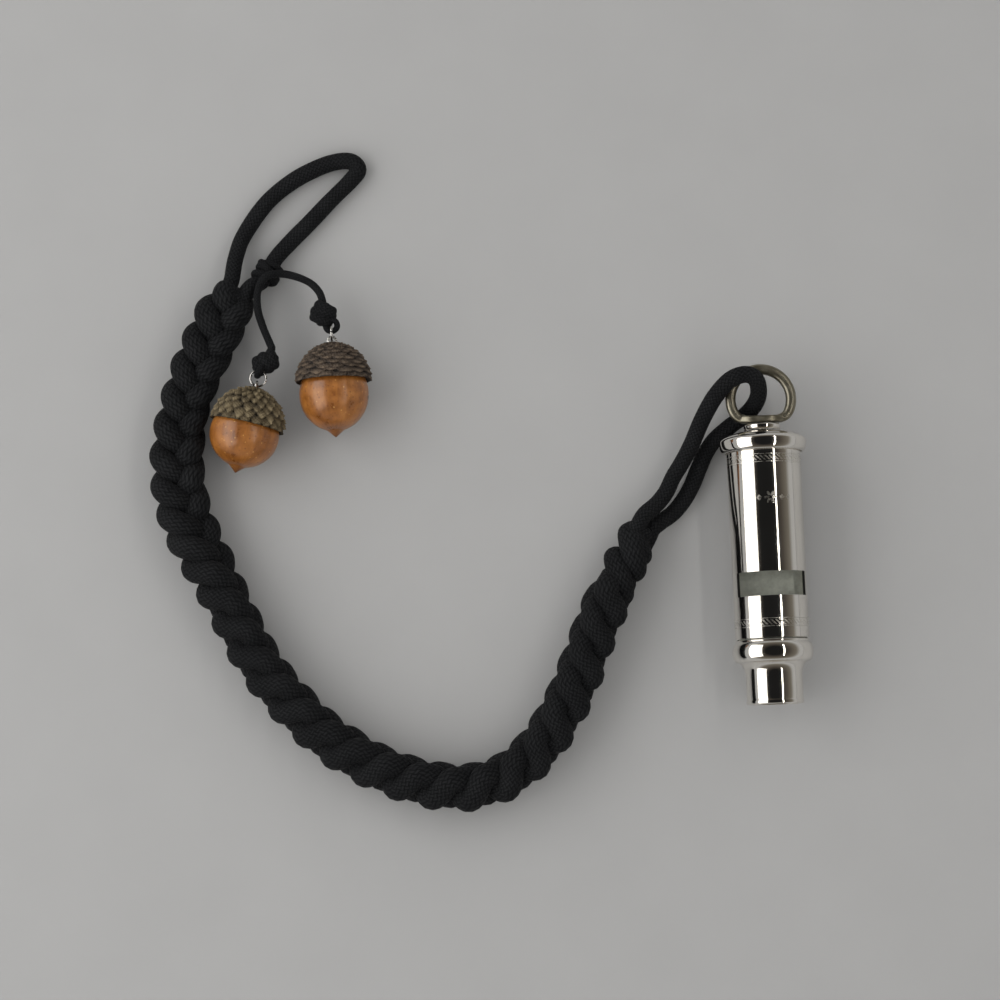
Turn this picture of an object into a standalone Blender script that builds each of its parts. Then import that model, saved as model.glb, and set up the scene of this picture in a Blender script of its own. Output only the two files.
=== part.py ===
"""Two-chamber tube whistle with a D-shaped ring, hung in a plaited cord lanyard with two acorn charms.

Metres, +Z up. The whistle lies along +Y, mouthpiece towards -Y, ring towards +Y, and everything rests
on z = 0. The origin is at the bottom centre of the box of the whistle with its ring.
"""
import math

import bmesh
import bpy
import numpy as np
from mathutils import Matrix, Vector

MM = 0.001
GAP = 0.3 * MM                    # clearance between pieces that touch

# Mouthpiece shell, from its lip upwards
MOUTH_OD = 14.6 * MM
MOUTH_WALL = 0.6 * MM
LIP_HEIGHT = 1.2 * MM
LIP_RISE = 0.15 * MM
MOUTH_TUBE = 7.2 * MM             # from the lip's end face to the neck
NECK_LENGTH = 3.6 * MM
NECK_RISE = 2.2 * MM
BEAD_PROUD = 0.9 * MM             # how far the bead stands out past the barrel
BEAD_WIDTH = 2.9 * MM
COVE_LENGTH = 2.7 * MM

# Barrel and its two windows
BARREL_OD = 19.1 * MM
BARREL_WALL = 0.6 * MM
BARREL_LENGTH = 50.4 * MM
WINDOW_START = 10.7 * MM          # from the barrel's lower end
WINDOW_HEIGHT = 6.2 * MM
WINDOW_FLOOR = 4.0 * MM           # each cut reaches down to this height off the axis

# Cap, boss, rivet
CAP_PROUD = 1.7 * MM              # how far the cap's rim stands out past the barrel
CAP_LIP = 0.45 * MM               # wall of the skirt at its lower edge
CAP_SKIRT = 2.3 * MM              # how far the skirt covers the barrel
CAP_SHOULDER = 2.8 * MM           # from the lower edge to the widest line
CAP_HEIGHT = 5.8 * MM
SPIGOT_DEPTH = 1.6 * MM
BOSS_OD = 9.6 * MM
BOSS_HEIGHT = 1.6 * MM
BOSS_EDGE = 0.5 * MM
SHANK_D = 2.2 * MM
RIVET_HEAD_D = 3.8 * MM
RIVET_HEAD_DEPTH = 0.9 * MM
RIVET_TAIL_D = 4.2 * MM
RIVET_TAIL_HEIGHT = 0.8 * MM

# Ring
RING_OD = 18.4 * MM
RING_STOCK = 2.7 * MM
FOOT_DROP = 6.3 * MM              # from the ring's centre to the underside of its foot
FOOT_THICKNESS = 1.9 * MM
FOOT_BREADTH = 5.6 * MM           # across the rivet
RING_CORNER = 8                   # higher is sharper

# Inside the whistle
BLOCK_INSET = 0.8 * MM            # from the lip's end face
SLIT = 1.5 * MM                   # height of each windway in the mouthpiece
SLIT_TOP = 1.7 * MM               # and at the window
PLATE_THICKNESS = 0.8 * MM
STOP_THICKNESS = 1.2 * MM
STOP_DEPTH = 12.5 * MM            # below the cap's spigot

# Cords
CORD_D = 4.3 * MM
BRAID_D = 12.5 * MM
CHARM_CORD_D = 2.0 * MM
WRAP_WALL = 0.75 * MM
WRAP_LENGTH = 5.0 * MM
WRAP_CLEARANCE = 0.5 * MM
END_KNOT_D = 12.2 * MM
END_KNOT_FACE_D = 10.6 * MM

# Charms
JUMP_RING_D = 4.1 * MM            # across the middle of the wire
JUMP_WIRE = 0.6 * MM
EYE_CORD_D = 1.6 * MM
EYE_LOOP_D = 3.0 * MM             # across the middle of the cord
SCREW_EYE_D = 2.2 * MM            # across the middle of the wire
SCREW_WIRE = 0.7 * MM
SCREW_LENGTH = 7.5 * MM
ACORN_LIFT = 0.05 * MM            # from the floor to the underside of the cup
CUP_PROUD = 1.1 * MM              # how far the cup's rim stands out past the nut
CUP_HEIGHT = 10.3 * MM
CUP_BAND = 1.2 * MM               # straight band above the rim
CUP_DIMPLE_R = 1.95 * MM
CUP_DIMPLE_DEPTH = 1.5 * MM
CUP_SINK = 0.3 * MM               # from the eye's centre down to the cup's crown
NUT_OD = 18.0 * MM
NUT_TOP = 4.4 * MM                # from the eye's centre down to the nut's crown
LEFT_NUT_LENGTH = 17.2 * MM       # crown to the root of the tip
RIGHT_NUT_LENGTH = 19.2 * MM
NUT_POINT = 1.7 * MM              # how far the tip reaches past its root
NUT_TIP_SLOPE = 1.15              # radius per length of the pointed tip

# Spacing of the points along each cord
BRAID_SPACING = 9.0 * MM
LOOP_SPACING = 3.1 * MM
CHARM_CORD_SPACING = 2.2 * MM

# Round detail
TURN_STEPS = 40
SMALL_STEPS = 24
ARC_STEPS = 6

# Heights along the whistle, from the mouthpiece's end face
NECK_START = MOUTH_TUBE
BEAD_START = NECK_START + NECK_LENGTH
COVE_START = BEAD_START + BEAD_WIDTH
SHELL_TOP = COVE_START + COVE_LENGTH
BARREL_START = SHELL_TOP + GAP
BARREL_END = BARREL_START + BARREL_LENGTH
WINDOW_LOW = BARREL_START + WINDOW_START
CAP_START = BARREL_END - CAP_SKIRT
CAP_SEAT = BARREL_END + GAP
SPIGOT_END = CAP_SEAT - SPIGOT_DEPTH
CAP_WIDE = CAP_START + CAP_SHOULDER
CAP_TOP = CAP_START + CAP_HEIGHT
BOSS_TOP = CAP_TOP + BOSS_HEIGHT
FOOT_START = BOSS_TOP + GAP
FOOT_END = FOOT_START + FOOT_THICKNESS
RING_CENTRE = FOOT_START + FOOT_DROP
WHISTLE_LENGTH = RING_CENTRE + RING_OD / 2
TAIL_TOP = SPIGOT_END - GAP
TAIL_END = TAIL_TOP - RIVET_TAIL_HEIGHT
BLOCK_TOP = WINDOW_LOW - GAP

BARREL_BORE = BARREL_OD / 2 - BARREL_WALL
BEAD_OD = BARREL_OD + 2 * BEAD_PROUD
CAP_OD = BARREL_OD + 2 * CAP_PROUD
CUP_OD = NUT_OD + 2 * CUP_PROUD
ACORN_AXIS_Z = CUP_OD / 2 + ACORN_LIFT
MOUTH_BORE = MOUTH_OD / 2 - MOUTH_WALL
AXIS_Z = CAP_OD / 2               # the cap's rim rests on the floor
SHANK_HOLE = SHANK_D / 2 + GAP

# Routes of the cords' middle lines, chosen by hand, in metres
BRAID_ROUTE = [
    (-0.1356, 0.0682, 0.0063), (-0.1394, 0.0610, 0.0063), (-0.1433, 0.0535, 0.0063),
    (-0.1472, 0.0450, 0.0063), (-0.1500, 0.0360, 0.0063), (-0.1513, 0.0270, 0.0063),
    (-0.1512, 0.0190, 0.0063), (-0.1499, 0.0115, 0.0063), (-0.1474, 0.0045, 0.0063),
    (-0.1440, -0.0025, 0.0063), (-0.1403, -0.0100, 0.0063), (-0.1366, -0.0180, 0.0063),
    (-0.1324, -0.0265, 0.0063), (-0.1270, -0.0345, 0.0063), (-0.1203, -0.0423, 0.0063),
    (-0.1124, -0.0494, 0.0063), (-0.1035, -0.0550, 0.0063), (-0.0940, -0.0590, 0.0063),
    (-0.0845, -0.0613, 0.0063), (-0.0755, -0.0610, 0.0063), (-0.0675, -0.0578, 0.0063),
    (-0.0608, -0.0517, 0.0063), (-0.0556, -0.0443, 0.0063), (-0.0513, -0.0363, 0.0063),
    (-0.0477, -0.0278, 0.0063), (-0.0440, -0.0190, 0.0063), (-0.0389, -0.0100, 0.0063)]
HAND_LOOP_ROUTE = [
    (-0.13735, 0.07015, 0.0063), (-0.1364, 0.0727, 0.0058), (-0.1354, 0.0786, 0.0040),
    (-0.1331, 0.0849, 0.0026), (-0.1270, 0.0933, 0.0022), (-0.1201, 0.0988, 0.0022),
    (-0.1133, 0.1022, 0.0022), (-0.1082, 0.1037, 0.0022), (-0.1043, 0.1036, 0.0022),
    (-0.1025, 0.1014, 0.0022), (-0.1046, 0.0985, 0.0022), (-0.1102, 0.0932, 0.0022),
    (-0.1156, 0.0878, 0.0022), (-0.1208, 0.0828, 0.0023), (-0.1249, 0.0783, 0.0030),
    (-0.1272, 0.0742, 0.0037), (-0.1290, 0.0718, 0.0045), (-0.1311, 0.0707, 0.0054),
    (-0.13235, 0.0693, 0.0061), (-0.1331, 0.0678, 0.0063)]
WHISTLE_LOOP_ROUTE = [
    (-0.0330, 0.0036, 0.0080), (-0.0311, 0.0064, 0.0076), (-0.0278, 0.0091, 0.0067),
    (-0.0252, 0.0122, 0.0061), (-0.0232, 0.0160, 0.0059), (-0.0207, 0.0198, 0.0058),
    (-0.0180, 0.0245, 0.0067), (-0.0151, 0.0306, 0.0091), (-0.0118, 0.0359, 0.0125),
    (-0.0080, 0.0396, 0.0154), (-0.0041, 0.0408, 0.0160), (-0.0014, 0.0396, 0.0150),
    (-0.0005, 0.0367, 0.0121), (-0.0013, 0.0340, 0.0090), (-0.0037, 0.0315, 0.0067),
    (-0.0074, 0.0291, 0.0053), (-0.0116, 0.0258, 0.0036), (-0.0142, 0.0224, 0.0025),
    (-0.0162, 0.0184, 0.0022), (-0.0181, 0.0142, 0.0022), (-0.0204, 0.0104, 0.0022),
    (-0.0234, 0.0070, 0.0025), (-0.0266, 0.0048, 0.0035), (-0.0289, 0.0030, 0.0044),
    (-0.0300, 0.0010, 0.0046)]
CHARM_CORD_ROUTE = [
    (-0.1262, 0.0534, 0.0092), (-0.1270, 0.0554, 0.0090), (-0.1284, 0.0591, 0.0088),
    (-0.1295, 0.0630, 0.0090), (-0.1297, 0.0665, 0.0093), (-0.1292, 0.0692, 0.0094),
    (-0.1281, 0.0714, 0.0094), (-0.1265, 0.0727, 0.0090), (-0.1243, 0.0732, 0.0080),
    (-0.1217, 0.0730, 0.0073), (-0.1184, 0.0719, 0.0075), (-0.1155, 0.0702, 0.0080),
    (-0.1135, 0.0678, 0.0086), (-0.1127, 0.0655, 0.0090)]
WRAP_SPOT = 15                    # index of the hand loop's point that the wrap sits on

# Charms: knot centre, way from the knot to its eye, and the acorn's way, all in plan
LEFT_KNOT = Vector((-0.1277, 0.0503, 0.0094))
LEFT_KNOT_SIZE = (7.0 * MM, 4.4 * MM, 4.6 * MM)
LEFT_KNOT_TURN = math.radians(18)
LEFT_EYE = Vector((-0.1294, 0.0474, ACORN_AXIS_Z))
LEFT_HANG = math.radians(-105.2)
RIGHT_KNOT = Vector((-0.1126, 0.0618, 0.0092))
RIGHT_KNOT_SIZE = (6.2 * MM, 6.4 * MM, 5.6 * MM)
RIGHT_KNOT_TURN = 0.0
RIGHT_EYE = Vector((-0.1105, 0.0586, ACORN_AXIS_Z))
RIGHT_HANG = math.radians(-89.5)


# ---- helpers ---------------------------------------------------------------------------------

def material(name, colour, roughness, metallic):
    """A plain Principled material."""
    made = bpy.data.materials.new(name)
    made.use_nodes = True
    shader = made.node_tree.nodes["Principled BSDF"]
    shader.inputs["Base Color"].default_value = (*colour, 1.0)
    shader.inputs["Roughness"].default_value = roughness
    shader.inputs["Metallic"].default_value = metallic
    return made


def add_object(name, bm, finish, parent=None, place=Matrix()):
    """Make an object of a bmesh, with outward faces and smooth round sides."""
    bmesh.ops.recalc_face_normals(bm, faces=bm.faces)
    mesh = bpy.data.meshes.new(name)
    bm.to_mesh(mesh)
    bm.free()
    mesh.materials.append(finish)
    mesh.shade_smooth()
    mesh.set_sharp_from_angle(angle=math.radians(35))
    obj = bpy.data.objects.new(name, mesh)
    bpy.context.collection.objects.link(obj)
    obj.parent = parent
    obj.matrix_local = place
    return obj


def add_empty(name, place, parent=None):
    """An empty on a joint's axis, which carries the pieces that turn about it."""
    empty = bpy.data.objects.new(name, None)
    empty.empty_display_size = 5 * MM
    bpy.context.collection.objects.link(empty)
    empty.parent = parent
    empty.matrix_local = place
    return empty


def turned(outline, steps=TURN_STEPS):
    """Revolve an outline of (radius, height) about Z; a radius of 0 closes on the axis."""
    bm = bmesh.new()
    rings = []
    for radius, height in outline:
        if radius == 0:
            rings.append([bm.verts.new((0, 0, height))])
            continue
        turns = (math.tau * k / steps for k in range(steps))
        rings.append([bm.verts.new((radius * math.cos(a), radius * math.sin(a), height)) for a in turns])
    pairs = list(zip(rings, rings[1:]))
    if len(rings[0]) > 1:
        pairs.append((rings[-1], rings[0]))
    for low, high in pairs:
        for k in range(steps):
            corners = [low[k % len(low)], low[(k + 1) % len(low)],
                       high[(k + 1) % len(high)], high[k % len(high)]]
            unique = list(dict.fromkeys(corners))
            if len(unique) > 2:
                bm.faces.new(unique)
    return bm


def arc(centre, radii, start, end, steps=ARC_STEPS):
    """Points of an elliptical arc in the outline's plane, angles in degrees."""
    turns = np.radians(np.linspace(start, end, steps + 1))
    return [(centre[0] + radii[0] * math.cos(a), centre[1] + radii[1] * math.sin(a)) for a in turns]


def prism(outline, low, high):
    """Extrude an outline of (x, y) from z = low to z = high."""
    bm = bmesh.new()
    base = [bm.verts.new((x, y, low)) for x, y in outline]
    face = bm.faces.new(base)
    lifted = bmesh.ops.extrude_face_region(bm, geom=[face])
    moved = [v for v in lifted["geom"] if isinstance(v, bmesh.types.BMVert)]
    bmesh.ops.translate(bm, verts=moved, vec=(0, 0, high - low))
    return bm


def loft(sections):
    """Join rings of points that have the same count, and close both ends."""
    bm = bmesh.new()
    rings = [[bm.verts.new(point) for point in section] for section in sections]
    for low, high in zip(rings, rings[1:]):
        for k, corner in enumerate(low):
            after = (k + 1) % len(low)
            bm.faces.new((corner, low[after], high[after], high[k]))
    bm.faces.new(rings[0])
    bm.faces.new(rings[-1])
    return bm


def ellipsoid(size, steps=20, rows=12):
    """A ball with its own length, breadth and height, its poles on Z."""
    outline = [(0, -0.5)]
    outline += [(0.5 * math.cos(t), 0.5 * math.sin(t))
                for t in np.linspace(-math.pi / 2, math.pi / 2, rows + 1)[1:-1]]
    outline.append((0, 0.5))
    bm = turned(outline, steps)
    bmesh.ops.scale(bm, verts=bm.verts, vec=size)
    return bm


def torus(middle_d, stock_d, steps, sides):
    """A round ring about Z."""
    return turned(arc((middle_d / 2, 0), (stock_d / 2, stock_d / 2), 0, 360 - 360 / sides, sides - 1), steps)


def cutter(name, bm, parent, place=Matrix()):
    """A hidden tool for a Boolean modifier."""
    bmesh.ops.recalc_face_normals(bm, faces=bm.faces)
    mesh = bpy.data.meshes.new(name)
    bm.to_mesh(mesh)
    bm.free()
    obj = bpy.data.objects.new(name, mesh)
    bpy.context.collection.objects.link(obj)
    obj.parent = parent
    obj.matrix_local = place
    obj.hide_render = True
    obj.display_type = "WIRE"
    return obj


def add_boolean(obj, tool, operation="DIFFERENCE"):
    """Cut an object with a tool, or join the tool to it."""
    step = obj.modifiers.new(tool.name, "BOOLEAN")
    step.operation = operation
    step.solver = "EXACT"
    step.object = tool


def smooth_route(points, spacing):
    """Even points along a Catmull-Rom curve through the route's own points."""
    path = np.array(points, dtype=float)
    padded = np.vstack([2 * path[0] - path[1], path, 2 * path[-1] - path[-2]])
    fine = []
    for k in range(len(path) - 1):
        a, b, c, d = padded[k:k + 4]
        for t in np.linspace(0, 1, 16, endpoint=False):
            fine.append(0.5 * (2 * b + (c - a) * t + (2 * a - 5 * b + 4 * c - d) * t ** 2
                               + (3 * b - a - 3 * c + d) * t ** 3))
    fine.append(path[-1])
    fine = np.array(fine)
    along = np.concatenate([[0], np.cumsum(np.linalg.norm(np.diff(fine, axis=0), axis=1))])
    count = max(2, round(along[-1] / spacing))
    marks = np.linspace(0, along[-1], count + 1)
    return [tuple(np.interp(mark, along, fine[:, axis]) for axis in range(3)) for mark in marks]


def cord(name, route, diameter, spacing, finish, sides=2):
    """A plain tube along a route, its ends closed."""
    points = smooth_route(route, spacing)
    data = bpy.data.curves.new(name, "CURVE")
    data.dimensions = "3D"
    data.bevel_depth = diameter / 2
    data.bevel_resolution = sides
    data.use_fill_caps = True
    spline = data.splines.new("POLY")
    spline.points.add(len(points) - 1)
    for knot, point in zip(spline.points, points):
        knot.co = (*point, 1.0)
    data.materials.append(finish)
    obj = bpy.data.objects.new(name, data)
    bpy.context.collection.objects.link(obj)
    return obj


def upright(direction, spot):
    """A placement whose local Z points along a direction."""
    turn = Vector(direction).to_track_quat("Z", "Y").to_matrix().to_4x4()
    return Matrix.Translation(spot) @ turn


# ---- whistle ---------------------------------------------------------------------------------

def cap_dome(radius):
    """Height of the cap's top at a radius."""
    rise = CAP_HEIGHT - CAP_SHOULDER
    return CAP_WIDE + rise * math.sqrt(max(0.0, 1 - (radius / (CAP_OD / 2)) ** 2))


def make_mouthpiece(finish, parent):
    """Lip, tube, neck, bead and cove, open inside, its bore widening to the barrel's."""
    tube = MOUTH_OD / 2
    neck_top = tube + NECK_RISE
    bead_r = BEAD_OD / 2
    bead_root = min(neck_top, bead_r - 0.4 * MM)
    top_r = BARREL_OD / 2 - 0.1 * MM
    cove_root = bead_r - 0.55 * MM
    flare_end = SHELL_TOP - 1.0 * MM
    outline = [(MOUTH_BORE, 0), (tube, 0)]
    outline += arc((tube, LIP_HEIGHT / 2), (LIP_RISE, LIP_HEIGHT / 2), -60, 60, 4)
    outline.append((tube, LIP_HEIGHT))
    outline += arc((bead_root, NECK_START), (tube - bead_root, NECK_LENGTH), 0, 85)
    outline += arc((bead_root, (BEAD_START + COVE_START) / 2), (bead_r - bead_root, BEAD_WIDTH / 2),
                   -75, 45, 8)
    outline += arc((cove_root, SHELL_TOP), (top_r - cove_root, COVE_LENGTH), -80, 0)
    outline += [(BARREL_BORE, SHELL_TOP), (BARREL_BORE, flare_end), (MOUTH_BORE, NECK_START + 1.4 * MM)]
    add_object("mouthpiece", turned(outline), finish, parent)


def make_barrel(finish, parent):
    """Thin tube with a window cut across the front and another across the back."""
    outer = BARREL_OD / 2
    outline = [(BARREL_BORE, BARREL_START), (outer, BARREL_START),
               (outer, BARREL_END), (BARREL_BORE, BARREL_END)]
    barrel = add_object("barrel", turned(outline, 56), finish, parent)
    reach = BARREL_OD
    low = WINDOW_LOW
    high = WINDOW_LOW + WINDOW_HEIGHT
    for side, name in ((-1, "front_window_cut"), (1, "rear_window_cut")):
        corners = [(-reach, side * WINDOW_FLOOR), (reach, side * WINDOW_FLOOR),
                   (reach, side * reach), (-reach, side * reach)]
        add_boolean(barrel, cutter(name, prism(corners, low, high), parent))


def make_cap(finish, parent):
    """Domed cap: a skirt outside the barrel, a spigot inside it and a hole for the rivet."""
    socket = BARREL_OD / 2 + GAP
    lip = socket + CAP_LIP
    wide = CAP_OD / 2
    outline = [(socket, CAP_START)]
    outline += arc((lip, CAP_WIDE), (wide - lip, CAP_SHOULDER), -90, 0)
    dome = np.linspace(0, 1, 9)[1:]
    radii = [SHANK_HOLE + (wide - SHANK_HOLE) * math.cos(t * math.pi / 2) for t in dome]
    outline += [(radius, cap_dome(radius)) for radius in radii]
    outline += [(SHANK_HOLE, SPIGOT_END), (BARREL_BORE - GAP, SPIGOT_END),
                (BARREL_BORE - GAP, CAP_SEAT), (socket, CAP_SEAT)]
    add_object("top_cap", turned(outline), finish, parent)


def make_boss(finish, parent):
    """Round washer whose underside follows the cap's dome."""
    outer = BOSS_OD / 2
    under = [(radius, cap_dome(radius) + GAP) for radius in np.linspace(SHANK_HOLE, outer, 5)]
    outline = under + arc((outer - BOSS_EDGE, BOSS_TOP - BOSS_EDGE), (BOSS_EDGE, BOSS_EDGE), 0, 90, 4)
    outline.append((SHANK_HOLE, BOSS_TOP))
    add_object("swivel_boss", turned(outline, 36), finish, parent)


def make_rivet(finish, parent):
    """Countersunk head in the ring's foot, shank, and a tail spread under the cap's spigot."""
    top = FOOT_END - 0.1 * MM
    shank = SHANK_D / 2
    tail = RIVET_TAIL_D / 2
    outline = [(0, TAIL_END), (tail, TAIL_END), (tail, TAIL_TOP), (shank, TAIL_TOP),
               (shank, top - RIVET_HEAD_DEPTH), (RIVET_HEAD_D / 2, top), (0, top)]
    add_object("swivel_rivet", turned(outline, SMALL_STEPS), finish, parent)


def flatted_disc(radius, flat, height, steps=10):
    """A circle cut flat at front and back, as a ring of points at one height."""
    edge = math.degrees(math.asin(flat / radius))
    right = arc((0, 0), (radius, radius), -edge, edge, steps)
    left = arc((0, 0), (radius, radius), 180 - edge, 180 + edge, steps)
    return [(x, y, height) for x, y in right + left]


def make_windway_block(finish, parent):
    """Plug that leaves a flat windway at the front and one at the back."""
    small = MOUTH_BORE - GAP
    large = BARREL_BORE - GAP
    sections = [flatted_disc(small, MOUTH_BORE - SLIT, BLOCK_INSET),
                flatted_disc(small, MOUTH_BORE - SLIT, NECK_START + 1.4 * MM),
                flatted_disc(large, BARREL_BORE - SLIT_TOP, SHELL_TOP - 0.6 * MM),
                flatted_disc(large, BARREL_BORE - SLIT_TOP, BLOCK_TOP)]
    add_object("windway_block", loft(sections), finish, parent)


def make_partition(finish, parent):
    """Lengthwise plate between the chambers, notched round the rivet's tail."""
    half = BARREL_BORE - GAP
    notch = RIVET_TAIL_D / 2 + GAP
    low = BLOCK_TOP + GAP
    high = SPIGOT_END - GAP
    floor = TAIL_END - GAP
    outline = [(-half, low), (half, low), (half, high), (notch, high),
               (notch, floor), (-notch, floor), (-notch, high), (-half, high)]
    plate = prism(outline, -PLATE_THICKNESS / 2, PLATE_THICKNESS / 2)
    add_object("partition_plate", plate, finish, parent, Matrix.Rotation(math.pi / 2, 4, "X"))


def make_stop(finish, parent):
    """Half disc across the rear chamber."""
    radius = BARREL_BORE - GAP
    flat = PLATE_THICKNESS / 2 + GAP
    edge = math.degrees(math.asin(flat / radius))
    outline = arc((0, 0), (radius, radius), edge, 180 - edge, 16)
    low = SPIGOT_END - STOP_DEPTH
    add_object("chamber_stop", prism(outline, low, low + STOP_THICKNESS), finish, parent)


def ring_point(angle):
    """Middle line, half width and half breadth of the ring at an angle from its centre."""
    round_r = (RING_OD - RING_STOCK) / 2
    flat_r = FOOT_DROP - FOOT_THICKNESS / 2
    down = max(0.0, -math.sin(angle))
    pull = (down / flat_r) ** RING_CORNER + (1 / round_r) ** RING_CORNER
    reach = pull ** (-1 / RING_CORNER)
    across = abs(reach * math.cos(angle)) / (FOOT_BREADTH * 0.95)
    foot = 0.0 if down == 0 else max(0.0, 1 - across ** 3) * min(1.0, down * 1.4) ** 4
    half_width = (RING_STOCK + (FOOT_THICKNESS - RING_STOCK) * min(1.0, down * 1.25) ** 4) / 2
    half_breadth = (RING_STOCK + (FOOT_BREADTH - RING_STOCK) * foot) / 2
    return Vector((reach * math.cos(angle), reach * math.sin(angle), 0)), half_width, half_breadth, foot


def make_ring(finish, parent):
    """D-shaped ring: round stock over the top, a flat foot drilled and countersunk for the rivet."""
    steps = 48
    sides = 12
    bm = bmesh.new()
    rings = []
    for k in range(steps):
        angle = math.tau * (k + 0.5) / steps
        spot, half_width, half_breadth, foot = ring_point(angle)
        ahead = ring_point(angle + 0.02)[0] - ring_point(angle - 0.02)[0]
        outward = Vector((ahead.y, -ahead.x, 0)).normalized()
        power = 2 / (2.3 + 3.7 * foot)
        section = []
        for j in range(sides):
            turn = math.tau * (j + 0.5) / sides
            wide = math.copysign(abs(math.cos(turn)) ** power, math.cos(turn))
            tall = math.copysign(abs(math.sin(turn)) ** power, math.sin(turn))
            corner = spot + outward * half_width * wide + Vector((0, 0, half_breadth * tall))
            section.append(bm.verts.new(corner))
        rings.append(section)
    for here, after in zip(rings, rings[1:] + rings[:1]):
        for j in range(sides):
            bm.faces.new((here[j], here[(j + 1) % sides], after[(j + 1) % sides], after[j]))
    ring = add_object("suspension_ring", bm, finish, parent)
    top = -FOOT_DROP + FOOT_THICKNESS
    head = RIVET_HEAD_D / 2 + GAP
    sink = top - RIVET_HEAD_DEPTH - GAP
    slope = (head - SHANK_HOLE) / RIVET_HEAD_DEPTH
    past = 1.0 * MM
    outline = [(0, -FOOT_DROP - past), (SHANK_HOLE, -FOOT_DROP - past), (SHANK_HOLE, sink),
               (head + slope * past, top + past), (0, top + past)]
    drill = cutter("rivet_drill", turned(outline, SMALL_STEPS), parent, Matrix.Rotation(-math.pi / 2, 4, "X"))
    add_boolean(ring, drill)


# ---- lanyard ---------------------------------------------------------------------------------

def end_reach(route, way, diameter):
    """How far back along a way a cord's flat end reaches."""
    end = Vector(route[0])
    lean = (Vector(route[1]) - end).normalized().dot(way)
    return end.dot(way) - diameter / 2 * math.sqrt(max(0.0, 1 - lean ** 2))


def make_end_knot(finish):
    """Barrel-shaped body of the wraps, with a flat face to the braid and one to the loop."""
    before, start = (Vector(point) for point in smooth_route(BRAID_ROUTE, BRAID_SPACING)[-2:])
    way = (start - before).normalized()
    loop = smooth_route(WHISTLE_LOOP_ROUTE, LOOP_SPACING)
    reach = min(end_reach(loop, way, CORD_D), end_reach(loop[::-1], way, CORD_D))
    length = reach - start.dot(way) - 2 * GAP
    face = END_KNOT_FACE_D / 2
    outline = [(0, 0)]
    outline += [(face + (END_KNOT_D / 2 - face) * math.sin(math.pi * t), length * t)
                for t in np.linspace(0, 1, 9)]
    outline.append((0, length))
    add_object("braid_end_knot", turned(outline, 20), finish, None, upright(way, start + way * GAP))


def make_wrap(finish):
    """Turns of thin cord round the hand loop's leg, as one sleeve."""
    spot = Vector(HAND_LOOP_ROUTE[WRAP_SPOT])
    way = Vector(HAND_LOOP_ROUTE[WRAP_SPOT - 1]) - Vector(HAND_LOOP_ROUTE[WRAP_SPOT + 1])
    bore = CORD_D / 2 + WRAP_CLEARANCE
    outer = bore + WRAP_WALL
    half = WRAP_LENGTH / 2
    outline = [(bore, -half), (outer - 0.3 * MM, -half)]
    outline += arc((outer - 0.3 * MM, 0), (0.3 * MM, half * 0.8), -60, 60, 4)
    outline += [(outer - 0.3 * MM, half), (bore, half)]
    add_object("charm_wrap", turned(outline, 24), finish, None, upright(way, spot))


# ---- charms ----------------------------------------------------------------------------------

def nut_radius(height, length):
    """A nut's radius, at a distance from the eye's centre."""
    half = length / 2
    middle = NUT_TOP + half
    body = NUT_OD / 2 * math.sqrt(max(0.0, 1 - ((height - middle) / half) ** 2))
    tip = NUT_TIP_SLOPE * (NUT_TOP + length + NUT_POINT - height) if height > middle else 0.0
    return max(body, min(tip, NUT_OD / 2 * 0.3))


def make_knot(name, spot, size, turn, eye, eye_turn, finish):
    """A knot with the cord's small eye growing out of it."""
    place = Matrix.Translation(spot) @ Matrix.Rotation(turn, 4, "Z")
    knot = add_object(name, ellipsoid(size), finish, None, place)
    loop = torus(EYE_LOOP_D, EYE_CORD_D, 20, 8)
    add_boolean(knot, cutter(name + "_eye", loop, None, Matrix.Translation(eye) @ eye_turn), "UNION")


def make_screw_eye(name, finish, parent, flat):
    """A wire loop about the joint's centre and its stem down into the acorn."""
    radius = SCREW_EYE_D / 2
    turns = np.radians(np.linspace(-75, 245, 17))
    loop = [(radius * math.cos(a), -radius * math.sin(a)) for a in turns]
    path = loop + [(0.0, radius * 1.35), (0.0, SCREW_LENGTH)]
    data = bpy.data.curves.new(name, "CURVE")
    data.dimensions = "3D"
    data.bevel_depth = SCREW_WIRE / 2
    data.bevel_resolution = 2
    data.use_fill_caps = True
    spline = data.splines.new("POLY")
    spline.points.add(len(path) - 1)
    for knot, (x, z) in zip(spline.points, path):
        knot.co = (x, 0.0, z, 1.0)
    data.materials.append(finish)
    obj = bpy.data.objects.new(name, data)
    bpy.context.collection.objects.link(obj)
    obj.parent = parent
    obj.matrix_local = flat


def make_cup(name, nut_length, finish, parent):
    """The acorn's cup: a dome with a dimple for the eye and a hollow for the nut."""
    outer = CUP_OD / 2
    low = CUP_SINK
    rim = CUP_SINK + CUP_HEIGHT
    hole = SCREW_WIRE / 2 + GAP
    dimple = low + CUP_DIMPLE_DEPTH
    outline = [(hole, dimple), (CUP_DIMPLE_R, dimple)]
    turns = np.linspace(CUP_DIMPLE_R / outer, 1, 10)
    outline += [(outer * t, rim - CUP_BAND - (CUP_HEIGHT - CUP_BAND) * (1 - t ** 2.2) ** 0.62) for t in turns]
    outline.append((outer - 0.2 * MM, rim))
    middle = NUT_TOP + nut_length / 2
    half = nut_length / 2 + GAP
    hollow = NUT_OD / 2 + GAP
    turns = np.linspace(math.acos((middle - rim) / half), math.asin(hole / hollow), 10)
    outline += [(hollow * math.sin(t), middle - half * math.cos(t)) for t in turns]
    add_object(name, turned(outline, 32), finish, parent)


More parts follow.
